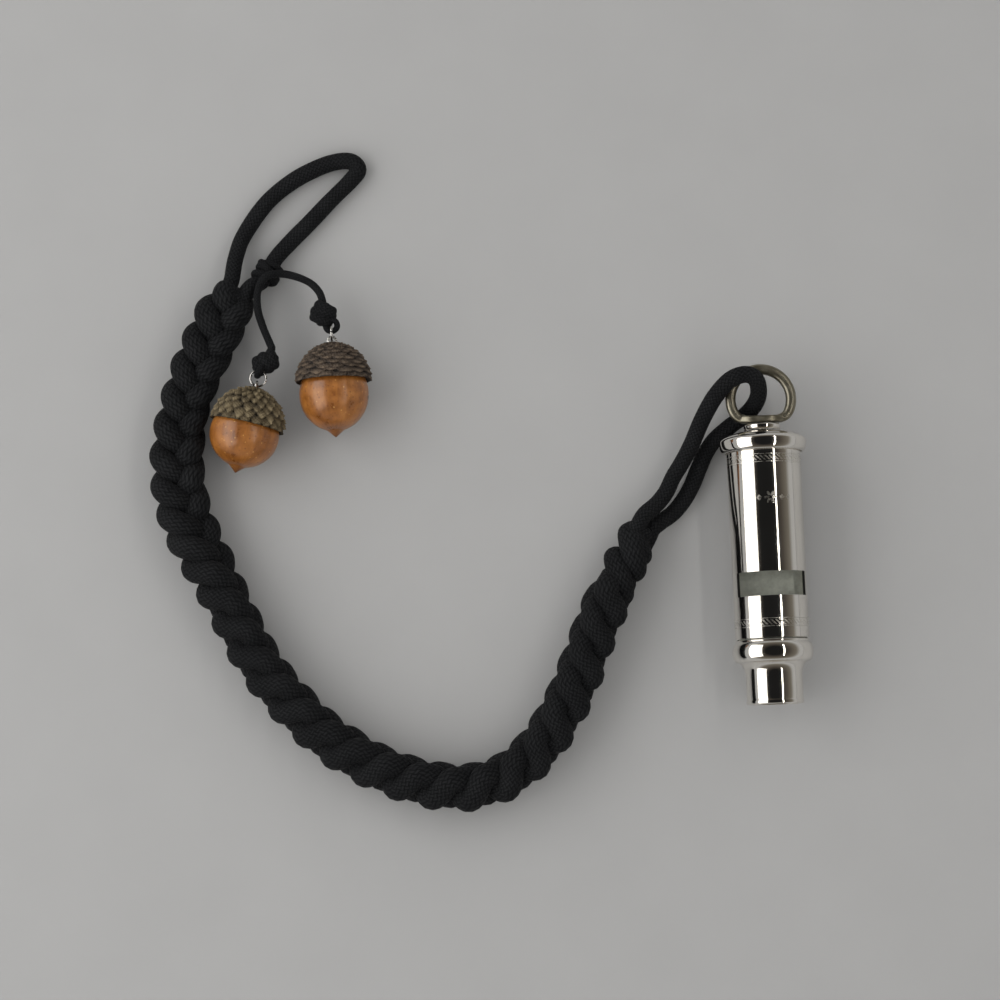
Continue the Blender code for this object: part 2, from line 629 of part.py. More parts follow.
def make_nut(name, length, finish, parent):
    """The nut, with a blind hole for the eye's stem and a pointed tip."""
    hole = SCREW_WIRE / 2 + GAP
    depth = SCREW_LENGTH + GAP
    tip = NUT_TOP + length + NUT_POINT
    heights = [NUT_TOP + length * (1 - math.cos(t)) / 2 for t in np.linspace(0.2, 2.55, 12)]
    outline = [(0, depth), (hole, depth), (hole, NUT_TOP + 0.05 * MM)]
    outline += [(nut_radius(height, length), height) for height in heights]
    tip_root = tip - nut_radius(heights[-1], length) / NUT_TIP_SLOPE
    outline += [(nut_radius(height, length), height)
                for height in np.linspace(max(tip_root, heights[-1] + 0.2 * MM), tip - 0.4 * MM, 4)]
    outline.append((0, tip))
    add_object(name, turned(outline, 32), finish, parent)


def make_charm(side, knot, size, turn, eye, hang, level, nut_length, finishes):
    """One charm: knot and eye, jump ring, screw eye and acorn. A level ring lies flat, else it stands."""
    way = Vector((math.cos(hang), math.sin(hang), 0))
    middle = eye + way * JUMP_RING_D / 2
    crown = middle + way * JUMP_RING_D / 2
    across = Matrix.Rotation(hang, 4, "Z")
    upended = across @ Matrix.Rotation(math.pi / 2, 4, "X")
    make_knot("charm_knot_" + side, knot, size, turn, eye, upended if level else across, finishes["cord"])
    link = add_empty("link_axis_" + side, Matrix.Translation(middle))
    ring_turn = across if level else upended
    add_object("jump_ring_" + side, torus(JUMP_RING_D, JUMP_WIRE, SMALL_STEPS, 8), finishes["wire"],
               link, ring_turn)
    down = Matrix.Rotation(hang, 4, "Z") @ Matrix.Rotation(math.pi / 2, 4, "Y")
    hinge = add_empty("acorn_axis_" + side, Matrix.Translation(crown - middle) @ down, link)
    flat = Matrix() if level else Matrix.Rotation(math.pi / 2, 4, "Z")
    make_screw_eye("screw_eye_" + side, finishes["wire"], hinge, flat)
    make_cup("acorn_cap_" + side, nut_length, finishes["cup"], hinge)
    make_nut("acorn_nut_" + side, nut_length, finishes["nut"], hinge)


def main():
    for obj in list(bpy.data.objects):
        bpy.data.objects.remove(obj, do_unlink=True)
    plate = material("nickel_plate", (0.80, 0.79, 0.76), 0.12, 1.0)
    dull = material("dull_nickel", (0.42, 0.40, 0.33), 0.35, 1.0)
    inner = material("block_metal", (0.45, 0.45, 0.43), 0.5, 1.0)
    black_cord = material("black_cord", (0.012, 0.013, 0.014), 0.85, 0.0)
    charm_finishes = {
        "cord": black_cord,
        "wire": material("jump_wire", (0.75, 0.74, 0.70), 0.25, 1.0),
        "cup": material("acorn_cup", (0.17, 0.13, 0.08), 0.8, 0.0),
        "nut": material("acorn_nut", (0.38, 0.15, 0.04), 0.3, 0.0),
    }
    bottom = -WHISTLE_LENGTH / 2
    ring_axis = add_empty("ring_axis", Matrix.Translation((0, bottom + RING_CENTRE, AXIS_Z)))
    along_y = Matrix.Rotation(-math.pi / 2, 4, "X")
    whistle_axis = add_empty("whistle_axis", Matrix.Translation((0, -RING_CENTRE, 0)) @ along_y, ring_axis)
    make_mouthpiece(plate, whistle_axis)
    make_barrel(plate, whistle_axis)
    make_cap(plate, whistle_axis)
    make_boss(plate, whistle_axis)
    make_rivet(dull, whistle_axis)
    make_windway_block(inner, whistle_axis)
    make_partition(inner, whistle_axis)
    make_stop(inner, whistle_axis)
    make_ring(dull, ring_axis)
    cord("lanyard_braid", BRAID_ROUTE, BRAID_D, BRAID_SPACING, black_cord, 3)
    cord("hand_loop", HAND_LOOP_ROUTE, CORD_D, LOOP_SPACING, black_cord)
    cord("whistle_loop", WHISTLE_LOOP_ROUTE, CORD_D, LOOP_SPACING, black_cord)
    cord("charm_cord", CHARM_CORD_ROUTE, CHARM_CORD_D, CHARM_CORD_SPACING, black_cord)
    make_end_knot(black_cord)
    make_wrap(black_cord)
    make_charm("left", LEFT_KNOT, LEFT_KNOT_SIZE, LEFT_KNOT_TURN, LEFT_EYE, LEFT_HANG, True,
               LEFT_NUT_LENGTH, charm_finishes)
    make_charm("right", RIGHT_KNOT, RIGHT_KNOT_SIZE, RIGHT_KNOT_TURN, RIGHT_EYE, RIGHT_HANG, False,
               RIGHT_NUT_LENGTH, charm_finishes)


main()
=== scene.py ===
"""The look of the tube whistle, its plaited lanyard and its acorn charms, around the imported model."""

import math

import bmesh
import bpy
import numpy as np
from mathutils import Matrix, Vector


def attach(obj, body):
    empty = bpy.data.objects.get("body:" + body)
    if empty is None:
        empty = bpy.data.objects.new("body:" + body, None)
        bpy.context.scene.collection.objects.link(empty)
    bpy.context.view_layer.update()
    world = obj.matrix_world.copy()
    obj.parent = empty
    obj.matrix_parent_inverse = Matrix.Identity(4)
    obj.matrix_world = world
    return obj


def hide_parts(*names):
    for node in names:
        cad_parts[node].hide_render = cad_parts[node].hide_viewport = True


MM = 0.001
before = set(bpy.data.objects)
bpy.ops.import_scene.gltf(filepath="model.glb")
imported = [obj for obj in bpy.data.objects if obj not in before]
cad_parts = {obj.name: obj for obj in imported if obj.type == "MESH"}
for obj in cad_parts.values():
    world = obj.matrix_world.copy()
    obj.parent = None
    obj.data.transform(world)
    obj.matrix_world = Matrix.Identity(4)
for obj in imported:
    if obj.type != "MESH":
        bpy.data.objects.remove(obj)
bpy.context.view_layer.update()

# ---- sizes that the model and the solids share ------------------------------------------------

CORD_D = 4.3 * MM
CHARM_CORD_D = 2.0 * MM
AXIS_Z = 11.25 * MM
AXIS_CHARM_Z = 10.15 * MM


def in_metres(points):
    """Points given in millimetres, as metres."""
    return [tuple(round(value / 1000, 6) for value in point) for point in points]


BRAID_ROUTE = in_metres([(x, y, 6.3) for x, y in (
    (-135.6, 68.2), (-139.4, 61), (-143.3, 53.5), (-147.2, 45), (-150, 36), (-151.3, 27), (-151.2, 19),
    (-149.9, 11.5), (-147.4, 4.5), (-144, -2.5), (-140.3, -10), (-136.6, -18), (-132.4, -26.5),
    (-127, -34.5), (-120.3, -42.3), (-112.4, -49.4), (-103.5, -55), (-94, -59), (-84.5, -61.3),
    (-75.5, -61), (-67.5, -57.8), (-60.8, -51.7), (-55.6, -44.3), (-51.3, -36.3), (-47.7, -27.8),
    (-44, -19), (-38.9, -10))])
HAND_LOOP_ROUTE = in_metres([
    (-137.35, 70.15, 6.3), (-136.4, 72.7, 5.8), (-135.4, 78.6, 4), (-133.1, 84.9, 2.6),
    (-127, 93.3, 2.2), (-120.1, 98.8, 2.2), (-113.3, 102.2, 2.2), (-108.2, 103.7, 2.2),
    (-104.3, 103.6, 2.2), (-102.5, 101.4, 2.2), (-104.6, 98.5, 2.2), (-110.2, 93.2, 2.2),
    (-115.6, 87.8, 2.2), (-120.8, 82.8, 2.3), (-124.9, 78.3, 3), (-127.2, 74.2, 3.7), (-129, 71.8, 4.5),
    (-131.1, 70.7, 5.4), (-132.35, 69.3, 6.1), (-133.1, 67.8, 6.3)])
WHISTLE_LOOP_ROUTE = in_metres([
    (-33, 3.6, 8), (-31.1, 6.4, 7.6), (-27.8, 9.1, 6.7), (-25.2, 12.2, 6.1), (-23.2, 16, 5.9),
    (-20.7, 19.8, 5.8), (-18, 24.5, 6.7), (-15.1, 30.6, 9.1), (-11.8, 35.9, 12.5), (-8, 39.6, 15.4),
    (-4.1, 40.8, 16), (-1.4, 39.6, 15), (-0.5, 36.7, 12.1), (-1.3, 34, 9), (-3.7, 31.5, 6.7),
    (-7.4, 29.1, 5.3), (-11.6, 25.8, 3.6), (-14.2, 22.4, 2.5), (-16.2, 18.4, 2.2), (-18.1, 14.2, 2.2),
    (-20.4, 10.4, 2.2), (-23.4, 7, 2.5), (-26.6, 4.8, 3.5), (-28.9, 3, 4.4), (-30, 1, 4.6)])
CHARM_CORD_ROUTE = in_metres([
    (-126.2, 53.4, 9.2), (-127, 55.4, 9), (-128.4, 59.1, 8.8), (-129.5, 63, 9), (-129.7, 66.5, 9.3),
    (-129.2, 69.2, 9.4), (-128.1, 71.4, 9.4), (-126.5, 72.7, 9), (-124.3, 73.2, 8), (-121.7, 73, 7.3),
    (-118.4, 71.9, 7.5), (-115.5, 70.2, 8), (-113.5, 67.8, 8.6), (-112.7, 65.5, 9)])


# ---- camera -----------------------------------------------------------------------------------

def link_object(name, data):
    obj = bpy.data.objects.new(name, data)
    bpy.context.scene.collection.objects.link(obj)
    return obj


def make_camera():
    """Almost straight down, from the mouthpiece's side, with the whistle leaning a little left."""
    lean = math.radians(2.2)
    rise = math.radians(84)
    target = Vector((-68.4 * MM, 12.4 * MM, 0))
    lens = 100
    sensor = 36
    distance = 262 * MM * lens / sensor
    right = Vector((math.cos(lean), -math.sin(lean), 0))
    up_in_plan = Vector((math.sin(lean), math.cos(lean), 0))
    back = Vector((0, 0, math.sin(rise))) - up_in_plan * math.cos(rise)
    up = back.cross(right)
    data = bpy.data.cameras.new("camera")
    data.lens = lens
    data.sensor_width = sensor
    camera = link_object("camera", data)
    turn = Matrix((right, up, back)).transposed().to_4x4()
    camera.matrix_world = Matrix.Translation(target + back * distance) @ turn
    bpy.context.scene.camera = camera


make_camera()


# ---- meshes -----------------------------------------------------------------------------------

UP = np.array([0.0, 0.0, 1.0])


def add_mesh(name, verts, faces, uv, finish, body, sharp=0):
    """A smooth-shaded mesh that rides on a body; uv gives one pair per face corner, or is None."""
    mesh = bpy.data.meshes.new(name)
    mesh.from_pydata([tuple(v) for v in verts], [], faces)
    if uv is not None:
        layer = mesh.uv_layers.new(name="UVMap")
        layer.data.foreach_set("uv", np.asarray(uv, dtype=np.float32).ravel())
    mesh.materials.append(finish)
    mesh.shade_smooth()
    if sharp:
        mesh.set_sharp_from_angle(angle=math.radians(sharp))
    obj = link_object(name, mesh)
    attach(obj, body)
    return obj


def smooth_route(points, spacing):
    """Even points along a Catmull-Rom curve through the route's own points."""
    path = np.array(points, dtype=float)
    padded = np.vstack([2 * path[0] - path[1], path, 2 * path[-1] - path[-2]])
    fine = []
    for k in range(len(path) - 1):
        a, b, c, d = padded[k:k + 4]
        for t in np.linspace(0, 1, 16, endpoint=False):
            fine.append(0.5 * (2 * b + (c - a) * t + (2 * a - 5 * b + 4 * c - d) * t ** 2
                               + (3 * b - a - 3 * c + d) * t ** 3))
    fine.append(path[-1])
    fine = np.array(fine)
    along = np.concatenate([[0], np.cumsum(np.linalg.norm(np.diff(fine, axis=0), axis=1))])
    count = max(2, round(along[-1] / spacing))
    marks = np.linspace(0, along[-1], count + 1)
    return np.stack([np.interp(marks, along, fine[:, axis]) for axis in range(3)], axis=1)


def path_length(points):
    return float(np.linalg.norm(np.diff(points, axis=0), axis=1).sum())


def unit(vectors):
    return vectors / np.linalg.norm(vectors, axis=-1, keepdims=True)


def circle(count):
    """Angles evenly round a turn."""
    return np.arange(count) * math.tau / count


def tangents(points):
    return unit(np.gradient(points, axis=0))


def transported(points, first=None):
    """A normal at each point that turns as little as it can along the path."""
    ahead = tangents(points)
    normal = UP if first is None else np.array(first)
    found = []
    for tangent in ahead:
        normal = normal - tangent * normal.dot(tangent)
        normal = normal / np.linalg.norm(normal)
        found.append(normal)
    return np.array(found)


def sweep(points, normals, thick, wide, sides, closed=False, blunt=0.55):
    """Rings of a tube along a path: thick is half its size along the normal, wide half its size across.

    An open tube's ends are rounded off; blunt is how far they reach, in half sizes."""
    count = len(points)
    ahead = tangents(points)
    if closed:
        ahead = unit(np.roll(points, -1, axis=0) - np.roll(points, 1, axis=0))
    side = unit(np.cross(ahead, normals))
    thick = np.broadcast_to(np.asarray(thick, dtype=float), (count,)).copy()
    wide = np.broadcast_to(np.asarray(wide, dtype=float), (count,)).copy()
    turn = circle(sides)
    rings = (points[:, None, :] + normals[:, None, :] * (thick[:, None] * np.cos(turn))[..., None]
             + side[:, None, :] * (wide[:, None] * np.sin(turn))[..., None])
    if not closed:
        caps = np.linspace(0.25, 1, 4)
        for end, sign in ((0, -1), (-1, 1)):
            reach = blunt * min(thick[end], wide[end])
            centre = points[end]
            extra = [centre + (rings[end] - centre) * math.cos(t * math.pi / 2 * 0.97)
                     + ahead[end] * sign * reach * math.sin(t * math.pi / 2) for t in caps]
            extra = np.array(extra)
            if sign < 0:
                rings = np.concatenate([extra[::-1], rings])
            else:
                rings = np.concatenate([rings, extra])
    return rings


def grid_faces(count, sides, closed=False):
    """Faces between neighbouring rings; closed joins the last ring to the first."""
    return [(k * sides + j, k * sides + (j + 1) % sides, (k + 1) % count * sides + (j + 1) % sides,
             (k + 1) % count * sides + j) for k in range(count if closed else count - 1)
            for j in range(sides)]


def skin(rings, closed=False, around=1.0):
    """Vertices, faces and UVs of a tube's rings: u runs once round, v in turns of its girth."""
    count, sides = rings.shape[:2]
    middle = rings.mean(axis=1)
    steps = np.linalg.norm(np.diff(middle, axis=0), axis=1)
    along = np.concatenate([[0], np.cumsum(steps)]) / around
    along = np.append(along, along[-1] + (along[1] - along[0]))
    faces = grid_faces(count, sides, closed)
    uv = []
    for v0, v1 in list(zip(along, along[1:]))[:len(faces) // sides]:
        for j in range(sides):
            uv += [(j / sides, v0), ((j + 1) / sides, v0), ((j + 1) / sides, v1), (j / sides, v1)]
    if not closed:
        faces.append(tuple(range(sides))[::-1])
        uv += [(0.5, along[0])] * sides
        base = (count - 1) * sides
        faces.append(tuple(range(base, base + sides)))
        uv += [(0.5, along[-2])] * sides
    return rings.reshape(-1, 3), faces, uv


def tube(points, normals, thick, wide, sides, diameter, closed=False, blunt=0.55):
    """A swept tube's skin, its UVs in turns of the girth of this diameter."""
    return skin(sweep(points, normals, thick, wide, sides, closed, blunt), closed, math.pi * diameter)


def join_parts(parts):
    """One vertex list, face list and UV list from several."""
    verts = []
    faces = []
    uv = []
    for some_verts, some_faces, some_uv in parts:
        base = len(verts)
        verts += [tuple(v) for v in some_verts]
        faces += [tuple(i + base for i in face) for face in some_faces]
        uv += list(some_uv)
    return verts, faces, uv


def waver(count, spacing, amount, seed, span):
    """A gentle random rise and fall along a path, 1 on average."""
    rng = np.random.default_rng(seed)
    knots = max(4, int(count * spacing / span) + 3)
    values = rng.uniform(-1, 1, knots)
    where = np.linspace(0, knots - 1, count)
    low = np.floor(where).astype(int).clip(0, knots - 2)
    t = where - low
    t = t * t * (3 - 2 * t)
    return 1 + amount * (values[low] * (1 - t) + values[low + 1] * t)


def revolve(outline, steps):
    """Vertices and faces of an outline of (radius, height) turned about Z; radius 0 closes on it."""
    verts = []
    rings = []
    for radius, height in outline:
        if radius <= 1e-9:
            rings.append([len(verts)])
            verts.append((0.0, 0.0, height))
            continue
        rings.append(list(range(len(verts), len(verts) + steps)))
        for k in range(steps):
            turn = math.tau * k / steps
            verts.append((radius * math.cos(turn), radius * math.sin(turn), height))
    pairs = list(zip(rings, rings[1:]))
    if len(rings[0]) > 1:
        pairs.append((rings[-1], rings[0]))
    faces = []
    for low, high in pairs:
        for k in range(steps):
            corners = [low[k % len(low)], low[(k + 1) % len(low)],
                       high[(k + 1) % len(high)], high[k % len(high)]]
            corners = list(dict.fromkeys(corners))
            if len(corners) > 2:
                faces.append(tuple(corners))
    return verts, faces


def placed(verts, place):
    return [tuple(place @ Vector(v)) for v in verts]


def arc(centre, radii, start, end, steps):
    turns = np.radians(np.linspace(start, end, steps + 1))
    return [(centre[0] + radii[0] * math.cos(a), centre[1] + radii[1] * math.sin(a)) for a in turns]


def tidy_normals(obj):
    """Turn all faces outward."""
    bm = bmesh.new()
    bm.from_mesh(obj.data)
    bmesh.ops.recalc_face_normals(bm, faces=bm.faces)
    bm.to_mesh(obj.data)
    bm.free()


def cut(obj, verts, faces):
    """Take a shape out of a mesh for good."""
    mesh = bpy.data.meshes.new("tool")
    mesh.from_pydata([tuple(v) for v in verts], [], faces)
    tool = link_object("tool", mesh)
    tidy_normals(tool)
    step = obj.modifiers.new("cut", "BOOLEAN")
    step.operation = "DIFFERENCE"
    step.solver = "EXACT"
    step.object = tool
    bpy.context.view_layer.update()
    seen = obj.evaluated_get(bpy.context.evaluated_depsgraph_get())
    made = bpy.data.meshes.new_from_object(seen)
    obj.modifiers.clear()
    obj.data = made
    bpy.data.objects.remove(tool, do_unlink=True)


# ---- materials --------------------------------------------------------------------------------

def fill_ramp(band, stops):
    """Set a colour ramp's stops; a stop's colour is three numbers, or one for a grey."""
    while len(band.elements) < len(stops):
        band.elements.new(0.5)
    for element, (where, colour) in zip(band.elements, stops):
        element.position = where
        element.color = (*colour, 1.0) if isinstance(colour, tuple) else (colour,) * 3 + (1.0,)


class Nodes:
    """Short calls for building a node material."""

    def __init__(self, name):
        self.made = bpy.data.materials.new(name)
        self.made.use_nodes = True
        self.tree = self.made.node_tree

    def put(self, socket, value):
        if isinstance(value, (int, float)):
            socket.default_value = value
        elif isinstance(value, tuple):
            socket.default_value = value if len(value) == len(socket.default_value) else (*value, 1.0)
        else:
            self.tree.links.new(value, socket)

    def set_inputs(self, node, values):
        for key, value in values.items():
            self.put(node.inputs[key.replace("_", " ")], value)
        return node

    def new(self, kind, **values):
        """A new node with these inputs."""
        return self.set_inputs(self.tree.nodes.new("ShaderNode" + kind), values)

    def set(self, **values):
        """The shader's inputs."""
        self.set_inputs(self.tree.nodes["Principled BSDF"], values)
        return self.made

    def math(self, operation, *values):
        node = self.new("Math")
        node.operation = operation
        for socket, value in zip(node.inputs, values):
            self.put(socket, value)
        return node.outputs[0]

    def add(self, first, second):
        return self.math("ADD", first, second)

    def sub(self, first, second):
        return self.math("SUBTRACT", first, second)

    def mul(self, first, second):
        return self.math("MULTIPLY", first, second)

    def absolute(self, value):
        return self.math("ABSOLUTE", value)

    def split(self, vector):
        return self.new("SeparateXYZ", Vector=vector).outputs

    def place(self):
        return self.new("TexCoord").outputs["Object"]

    def stretched(self, scale=(1, 1, 1)):
        return self.new("Mapping", Scale=scale, Vector=self.place()).outputs[0]

    def attribute(self, name):
        node = self.new("Attribute")
        node.attribute_name = name
        return node.outputs["Fac"]

    def noise(self, scale, detail, rough, vector=None):
        """Noise on the object's own place, or on another vector."""
        return self.new("TexNoise", Scale=scale, Detail=detail, Roughness=rough,
                        Vector=vector or self.stretched()).outputs["Fac"]

    def spots(self, scale):
        return self.new("TexVoronoi", Scale=scale, Vector=self.stretched()).outputs["Distance"]

    def ramp(self, value, stops):
        node = self.new("ValToRGB", Fac=value)
        fill_ramp(node.color_ramp, stops)
        return node.outputs[0]

    def span(self, value, low, high, to_low, to_high):
        """The value's span from low to high, laid on another span."""
        return self.new("MapRange", Value=value, From_Min=low, From_Max=high, To_Min=to_low,
                        To_Max=to_high).outputs[0]

    def mix(self, factor, first, second):
        node = self.new("Mix")
        node.data_type = "RGBA"
        for index, value in ((0, factor), (6, first), (7, second)):
            self.put(node.inputs[index], value)
        return node.outputs[2]

    def bump(self, height, strength, distance):
        return self.new("Bump", Height=height, Strength=strength, Distance=distance).outputs[0]


def cord_material(name, around, along, relief):
    """Black woven sheath: crossing carriers laid over and under, with loose fibres; the colour is painted
    darker in the dips between carriers, as shade.
    """
    n = Nodes(name)
    place = n.new("UVMap")
    place.uv_map = "UVMap"
    u, v, _ = n.split(place.outputs[0])
    turns_u = n.mul(u, float(around))
    turns_v = n.mul(v, float(along))
    one = n.math("SINE", n.mul(n.add(turns_u, turns_v), math.pi))
    two = n.math("SINE", n.mul(n.sub(turns_u, turns_v), math.pi))
    over = n.math("GREATER_THAN", n.mul(one, two), 0.0)
    height = n.add(n.mul(n.absolute(one), over), n.mul(n.absolute(two), n.sub(1.0, over)))
    fibre = n.noise(2600.0, 3.0, 0.6)
    blotch = n.noise(160.0, 3.0, 0.5)
    height = n.add(height, n.mul(fibre, 0.55))
    # The colour follows the weave's height: painted shade in the dips between carriers, with random
    # blotches of real tone.
    tone = n.add(n.mul(height, 0.55), n.mul(blotch, 0.35))
    colour = n.ramp(tone, [(0.25, (0.0012, 0.0013, 0.0016)), (0.62, (0.0048, 0.0051, 0.0058)),
                           (1.0, (0.0150, 0.0155, 0.0165))])
    rough = n.span(fibre, 0.3, 0.7, 0.62, 0.9)
    return n.set(Base_Color=colour, Roughness=rough, Normal=n.bump(height, relief, 0.22 * MM),
                 Specular_IOR_Level=0.10, Sheen_Weight=0.015, Sheen_Roughness=0.4)


PLATE = (0.86, 0.83, 0.775)


def plate_metal(n):
    """Rubbed nickel: faint wipes along the tube, small pits and a slightly uneven gloss."""
    wipes = n.noise(1.0, 3.0, 0.6, n.stretched((900, 60, 900)))
    cloud = n.noise(90.0, 4.0, 0.55)
    pits = n.span(n.spots(900.0), 0.0, 0.12, 1.0, 0.0)
    tone = n.ramp(cloud, [(0.3, tuple(0.93 * c for c in PLATE)), (0.7, PLATE)])
    rough = n.add(n.span(cloud, 0.35, 0.7, 0.035, 0.10), n.mul(wipes, 0.03))
    height = n.sub(n.mul(wipes, 0.35), n.mul(pits, 0.25))
    return tone, rough, height


def nickel_material():
    """Bright plate for the turned pieces."""
    n = Nodes("bright_nickel")
    tone, rough, height = plate_metal(n)
    return n.set(Base_Color=tone, Metallic=1.0, Roughness=rough, Normal=n.bump(height, 0.05, 0.05 * MM))


BARREL_R_MM = 9.55
BANDS_Y_MM = (18.6, -23.4)          # middles of the two dashed bands
ROSETTE_MM = (0.4, 8.4)             # the rosette's place: round the tube, and Y
LOZENGES_MM = ((3.0, 0.75), (4.7, 0.5))     # each one's way from the rosette and half size


def barrel_material():
    """The same plate with a plain etched ornament: two dashed bands, and a rosette between lozenges."""
    n = Nodes("etched_nickel")
    tone, rough, height = plate_metal(n)
    x, y, z = n.split(n.place())
    round_mm = n.mul(n.math("ARCTAN2", x, n.sub(z, AXIS_Z)), BARREL_R_MM)
    up_mm = n.mul(y, 1000.0)

    def near(value, centre, half):
        return n.math("LESS_THAN", n.absolute(n.sub(value, centre)), half)

    marks = []
    for middle in BANDS_Y_MM:
        slant = n.math("SINE", n.mul(n.add(round_mm, up_mm), 5.5))
        dashes = n.mul(near(up_mm, middle, 0.62), n.math("GREATER_THAN", slant, 0.30))
        edge = n.absolute(n.sub(up_mm, middle))
        marks.append(n.math("MAXIMUM", dashes, near(edge, 1.0, 0.08)))
    off = n.sub(round_mm, ROSETTE_MM[0])
    rise = n.sub(up_mm, ROSETTE_MM[1])
    reach = n.math("SQRT", n.add(n.mul(off, off), n.mul(rise, rise)))
    petal = n.absolute(n.math("COSINE", n.mul(n.math("ARCTAN2", rise, off), 3.0)))
    rosette = n.math("LESS_THAN", reach, n.add(n.mul(petal, 1.35), 0.35))
    marks.append(n.mul(rosette, n.math("GREATER_THAN", reach, 0.35)))
    for spot, size in LOZENGES_MM:
        gap = n.add(n.absolute(n.sub(n.absolute(off), spot)), n.absolute(rise))
        marks.append(n.math("LESS_THAN", gap, size))
    drawn = marks[0]
    for mark in marks[1:]:
        drawn = n.math("MAXIMUM", drawn, mark)
    grain = n.noise(3000.0, 2.0, 0.5)
    etched = n.mul(drawn, n.span(grain, 0.3, 0.6, 0.35, 1.0))
    colour = n.mix(n.mul(etched, 0.6), tone, (0.42, 0.40, 0.34))
    rough = n.add(rough, n.mul(etched, 0.30))
    height = n.sub(height, n.mul(etched, 1.2))
    return n.set(Base_Color=colour, Metallic=1.0, Roughness=rough, Normal=n.bump(height, 0.10, 0.05 * MM))


def ring_material():
    """Duller, yellower nickel with handling marks."""
    n = Nodes("dull_nickel")
    wipes = n.noise(1.0, 4.0, 0.6, n.stretched((500, 500, 120)))
    cloud = n.noise(420.0, 5.0, 0.6)
    tone = n.ramp(cloud, [(0.25, (0.20, 0.183, 0.135)), (0.5, (0.30, 0.278, 0.215)),
                          (0.8, (0.42, 0.395, 0.315))])
    rough = n.span(cloud, 0.3, 0.7, 0.30, 0.46)
    height = n.add(n.mul(wipes, 0.6), cloud)
    return n.set(Base_Color=tone, Metallic=1.0, Roughness=rough, Normal=n.bump(height, 0.16, 0.10 * MM))


def block_material():
    """Matt grey-green plate of the parts inside the tube."""
    n = Nodes("matt_plate")
    cloud = n.noise(350.0, 5.0, 0.65)
    grain = n.noise(2400.0, 2.0, 0.5)
    tone = n.ramp(cloud, [(0.3, (0.29, 0.30, 0.26)), (0.6, (0.43, 0.445, 0.39)),
                          (0.85, (0.56, 0.575, 0.51))])
    rough = n.span(cloud, 0.3, 0.7, 0.45, 0.62)
    return n.set(Base_Color=tone, Metallic=0.5, Roughness=rough, Normal=n.bump(grain, 0.2, 0.06 * MM))


def wire_material():
    """Bright wire with drawn streaks."""
    n = Nodes("bright_wire")
    grain = n.noise(1800.0, 3.0, 0.5)
    tone = n.ramp(grain, [(0.3, (0.62, 0.61, 0.58)), (0.7, (0.86, 0.85, 0.82))])
    rough = n.span(grain, 0.3, 0.7, 0.12, 0.26)
    return n.set(Base_Color=tone, Metallic=1.0, Roughness=rough, Normal=n.bump(grain, 0.08, 0.04 * MM))


def nut_material(name, shift):
    """Varnished acorn: orange brown, darker at the tip, streaked and freckled."""
    n = Nodes(name)
    along = n.attribute("along")
    line = n.new("CombineXYZ", X=n.mul(n.attribute("turn"), 26.0), Y=n.mul(along, 1.6))
    streaks = n.noise(1.0, 5.0, 0.65, line.outputs[0])
    cloud = n.noise(210.0 + shift, 5.0, 0.62)
    mix = n.add(n.mul(streaks, 0.28), n.mul(cloud, 0.72))
    tone = n.ramp(mix, [(0.34, (0.120, 0.038, 0.007)), (0.46, (0.215, 0.075, 0.013)),
                        (0.58, (0.300, 0.112, 0.021)), (0.74, (0.395, 0.170, 0.038))])
    freckle = n.span(n.spots(780.0 + shift), 0.08, 0.26, 0.7, 0.0)
    tone = n.mix(freckle, tone, (0.13, 0.036, 0.008))
    fleck = n.span(n.spots(640.0 - shift), 0.05, 0.17, 0.6, 0.0)
    tone = n.mix(fleck, tone, (0.62, 0.33, 0.09))
    tip = n.span(along, 0.86, 0.985, 0.0, 0.85)
    tone = n.mix(tip, tone, (0.085, 0.032, 0.012))
    rough = n.span(cloud, 0.3, 0.7, 0.25, 0.40)
    height = n.add(n.mul(streaks, 0.5), cloud)
    return n.set(Base_Color=tone, Roughness=rough, Normal=n.bump(height, 0.22, 0.14 * MM),
                 Coat_Weight=0.3, Coat_Roughness=0.24)


def cup_material(name, dark, middle, pale):
    """Dry scales: pale raised scales, partly their own colour and partly painted highlight; dark between
    them, painted shade in the gaps; fine fibres.
    """
    n = Nodes(name)
    raised = n.attribute("raised")
    cloud = n.noise(520.0, 5.0, 0.65)
    fibre = n.noise(2200.0, 3.0, 0.6)
    level = n.add(n.mul(raised, 0.62), n.mul(cloud, 0.45))
    level = n.add(level, n.mul(n.sub(fibre, 0.5), 0.22))
    # The ramp follows the scales' height: its dark stop is painted shade between the scales, its pale stop
    # partly painted highlight on the raised ones.
    tone = n.ramp(level, [(0.28, dark), (0.56, middle), (0.92, pale)])
    height = n.add(cloud, n.mul(fibre, 0.6))
    return n.set(Base_Color=tone, Roughness=n.span(cloud, 0.3, 0.7, 0.68, 0.9),
                 Normal=n.bump(height, 0.5, 0.18 * MM))


SHEATH = cord_material("black_sheath", 12, 11, 0.75)
PLAIT_SHEATH = cord_material("black_plait_sheath", 16, 15, 0.75)
FINE_SHEATH = cord_material("black_fine_sheath", 8, 7, 0.6)
NICKEL = nickel_material()
ETCHED = barrel_material()
DULL = ring_material()
BLOCK = block_material()
WIRE = wire_material()


# ---- lanyard ----------------------------------------------------------------------------------

STRAND_D = 6.4 * MM
STRAND_SWING = (4.2 * MM, 3.9 * MM)      # half way across the plait's face, beside the charms and after
STRAND_DIP = (2.5 * MM, 2.65 * MM)       # and half way through its thickness
STRAND_TURN = (23.1 * MM, 25.8 * MM)     # length of one whole crossing and back
FACE_TURN = (48 * MM, 90 * MM)           # where the plait rolls from face up to almost edge up
FACE_TILT = (4, 80)                      # its lean before and after that, in degrees
NARROWING = (0.55 * MM, 32 * MM, 14 * MM)    # how much narrower beside the left acorn, where, how far
FIRST_TURN = 1.9                         # where in its crossing the first strand starts
FLOOR_GAP = 0.1 * MM                     # between the lowest strand and the floor


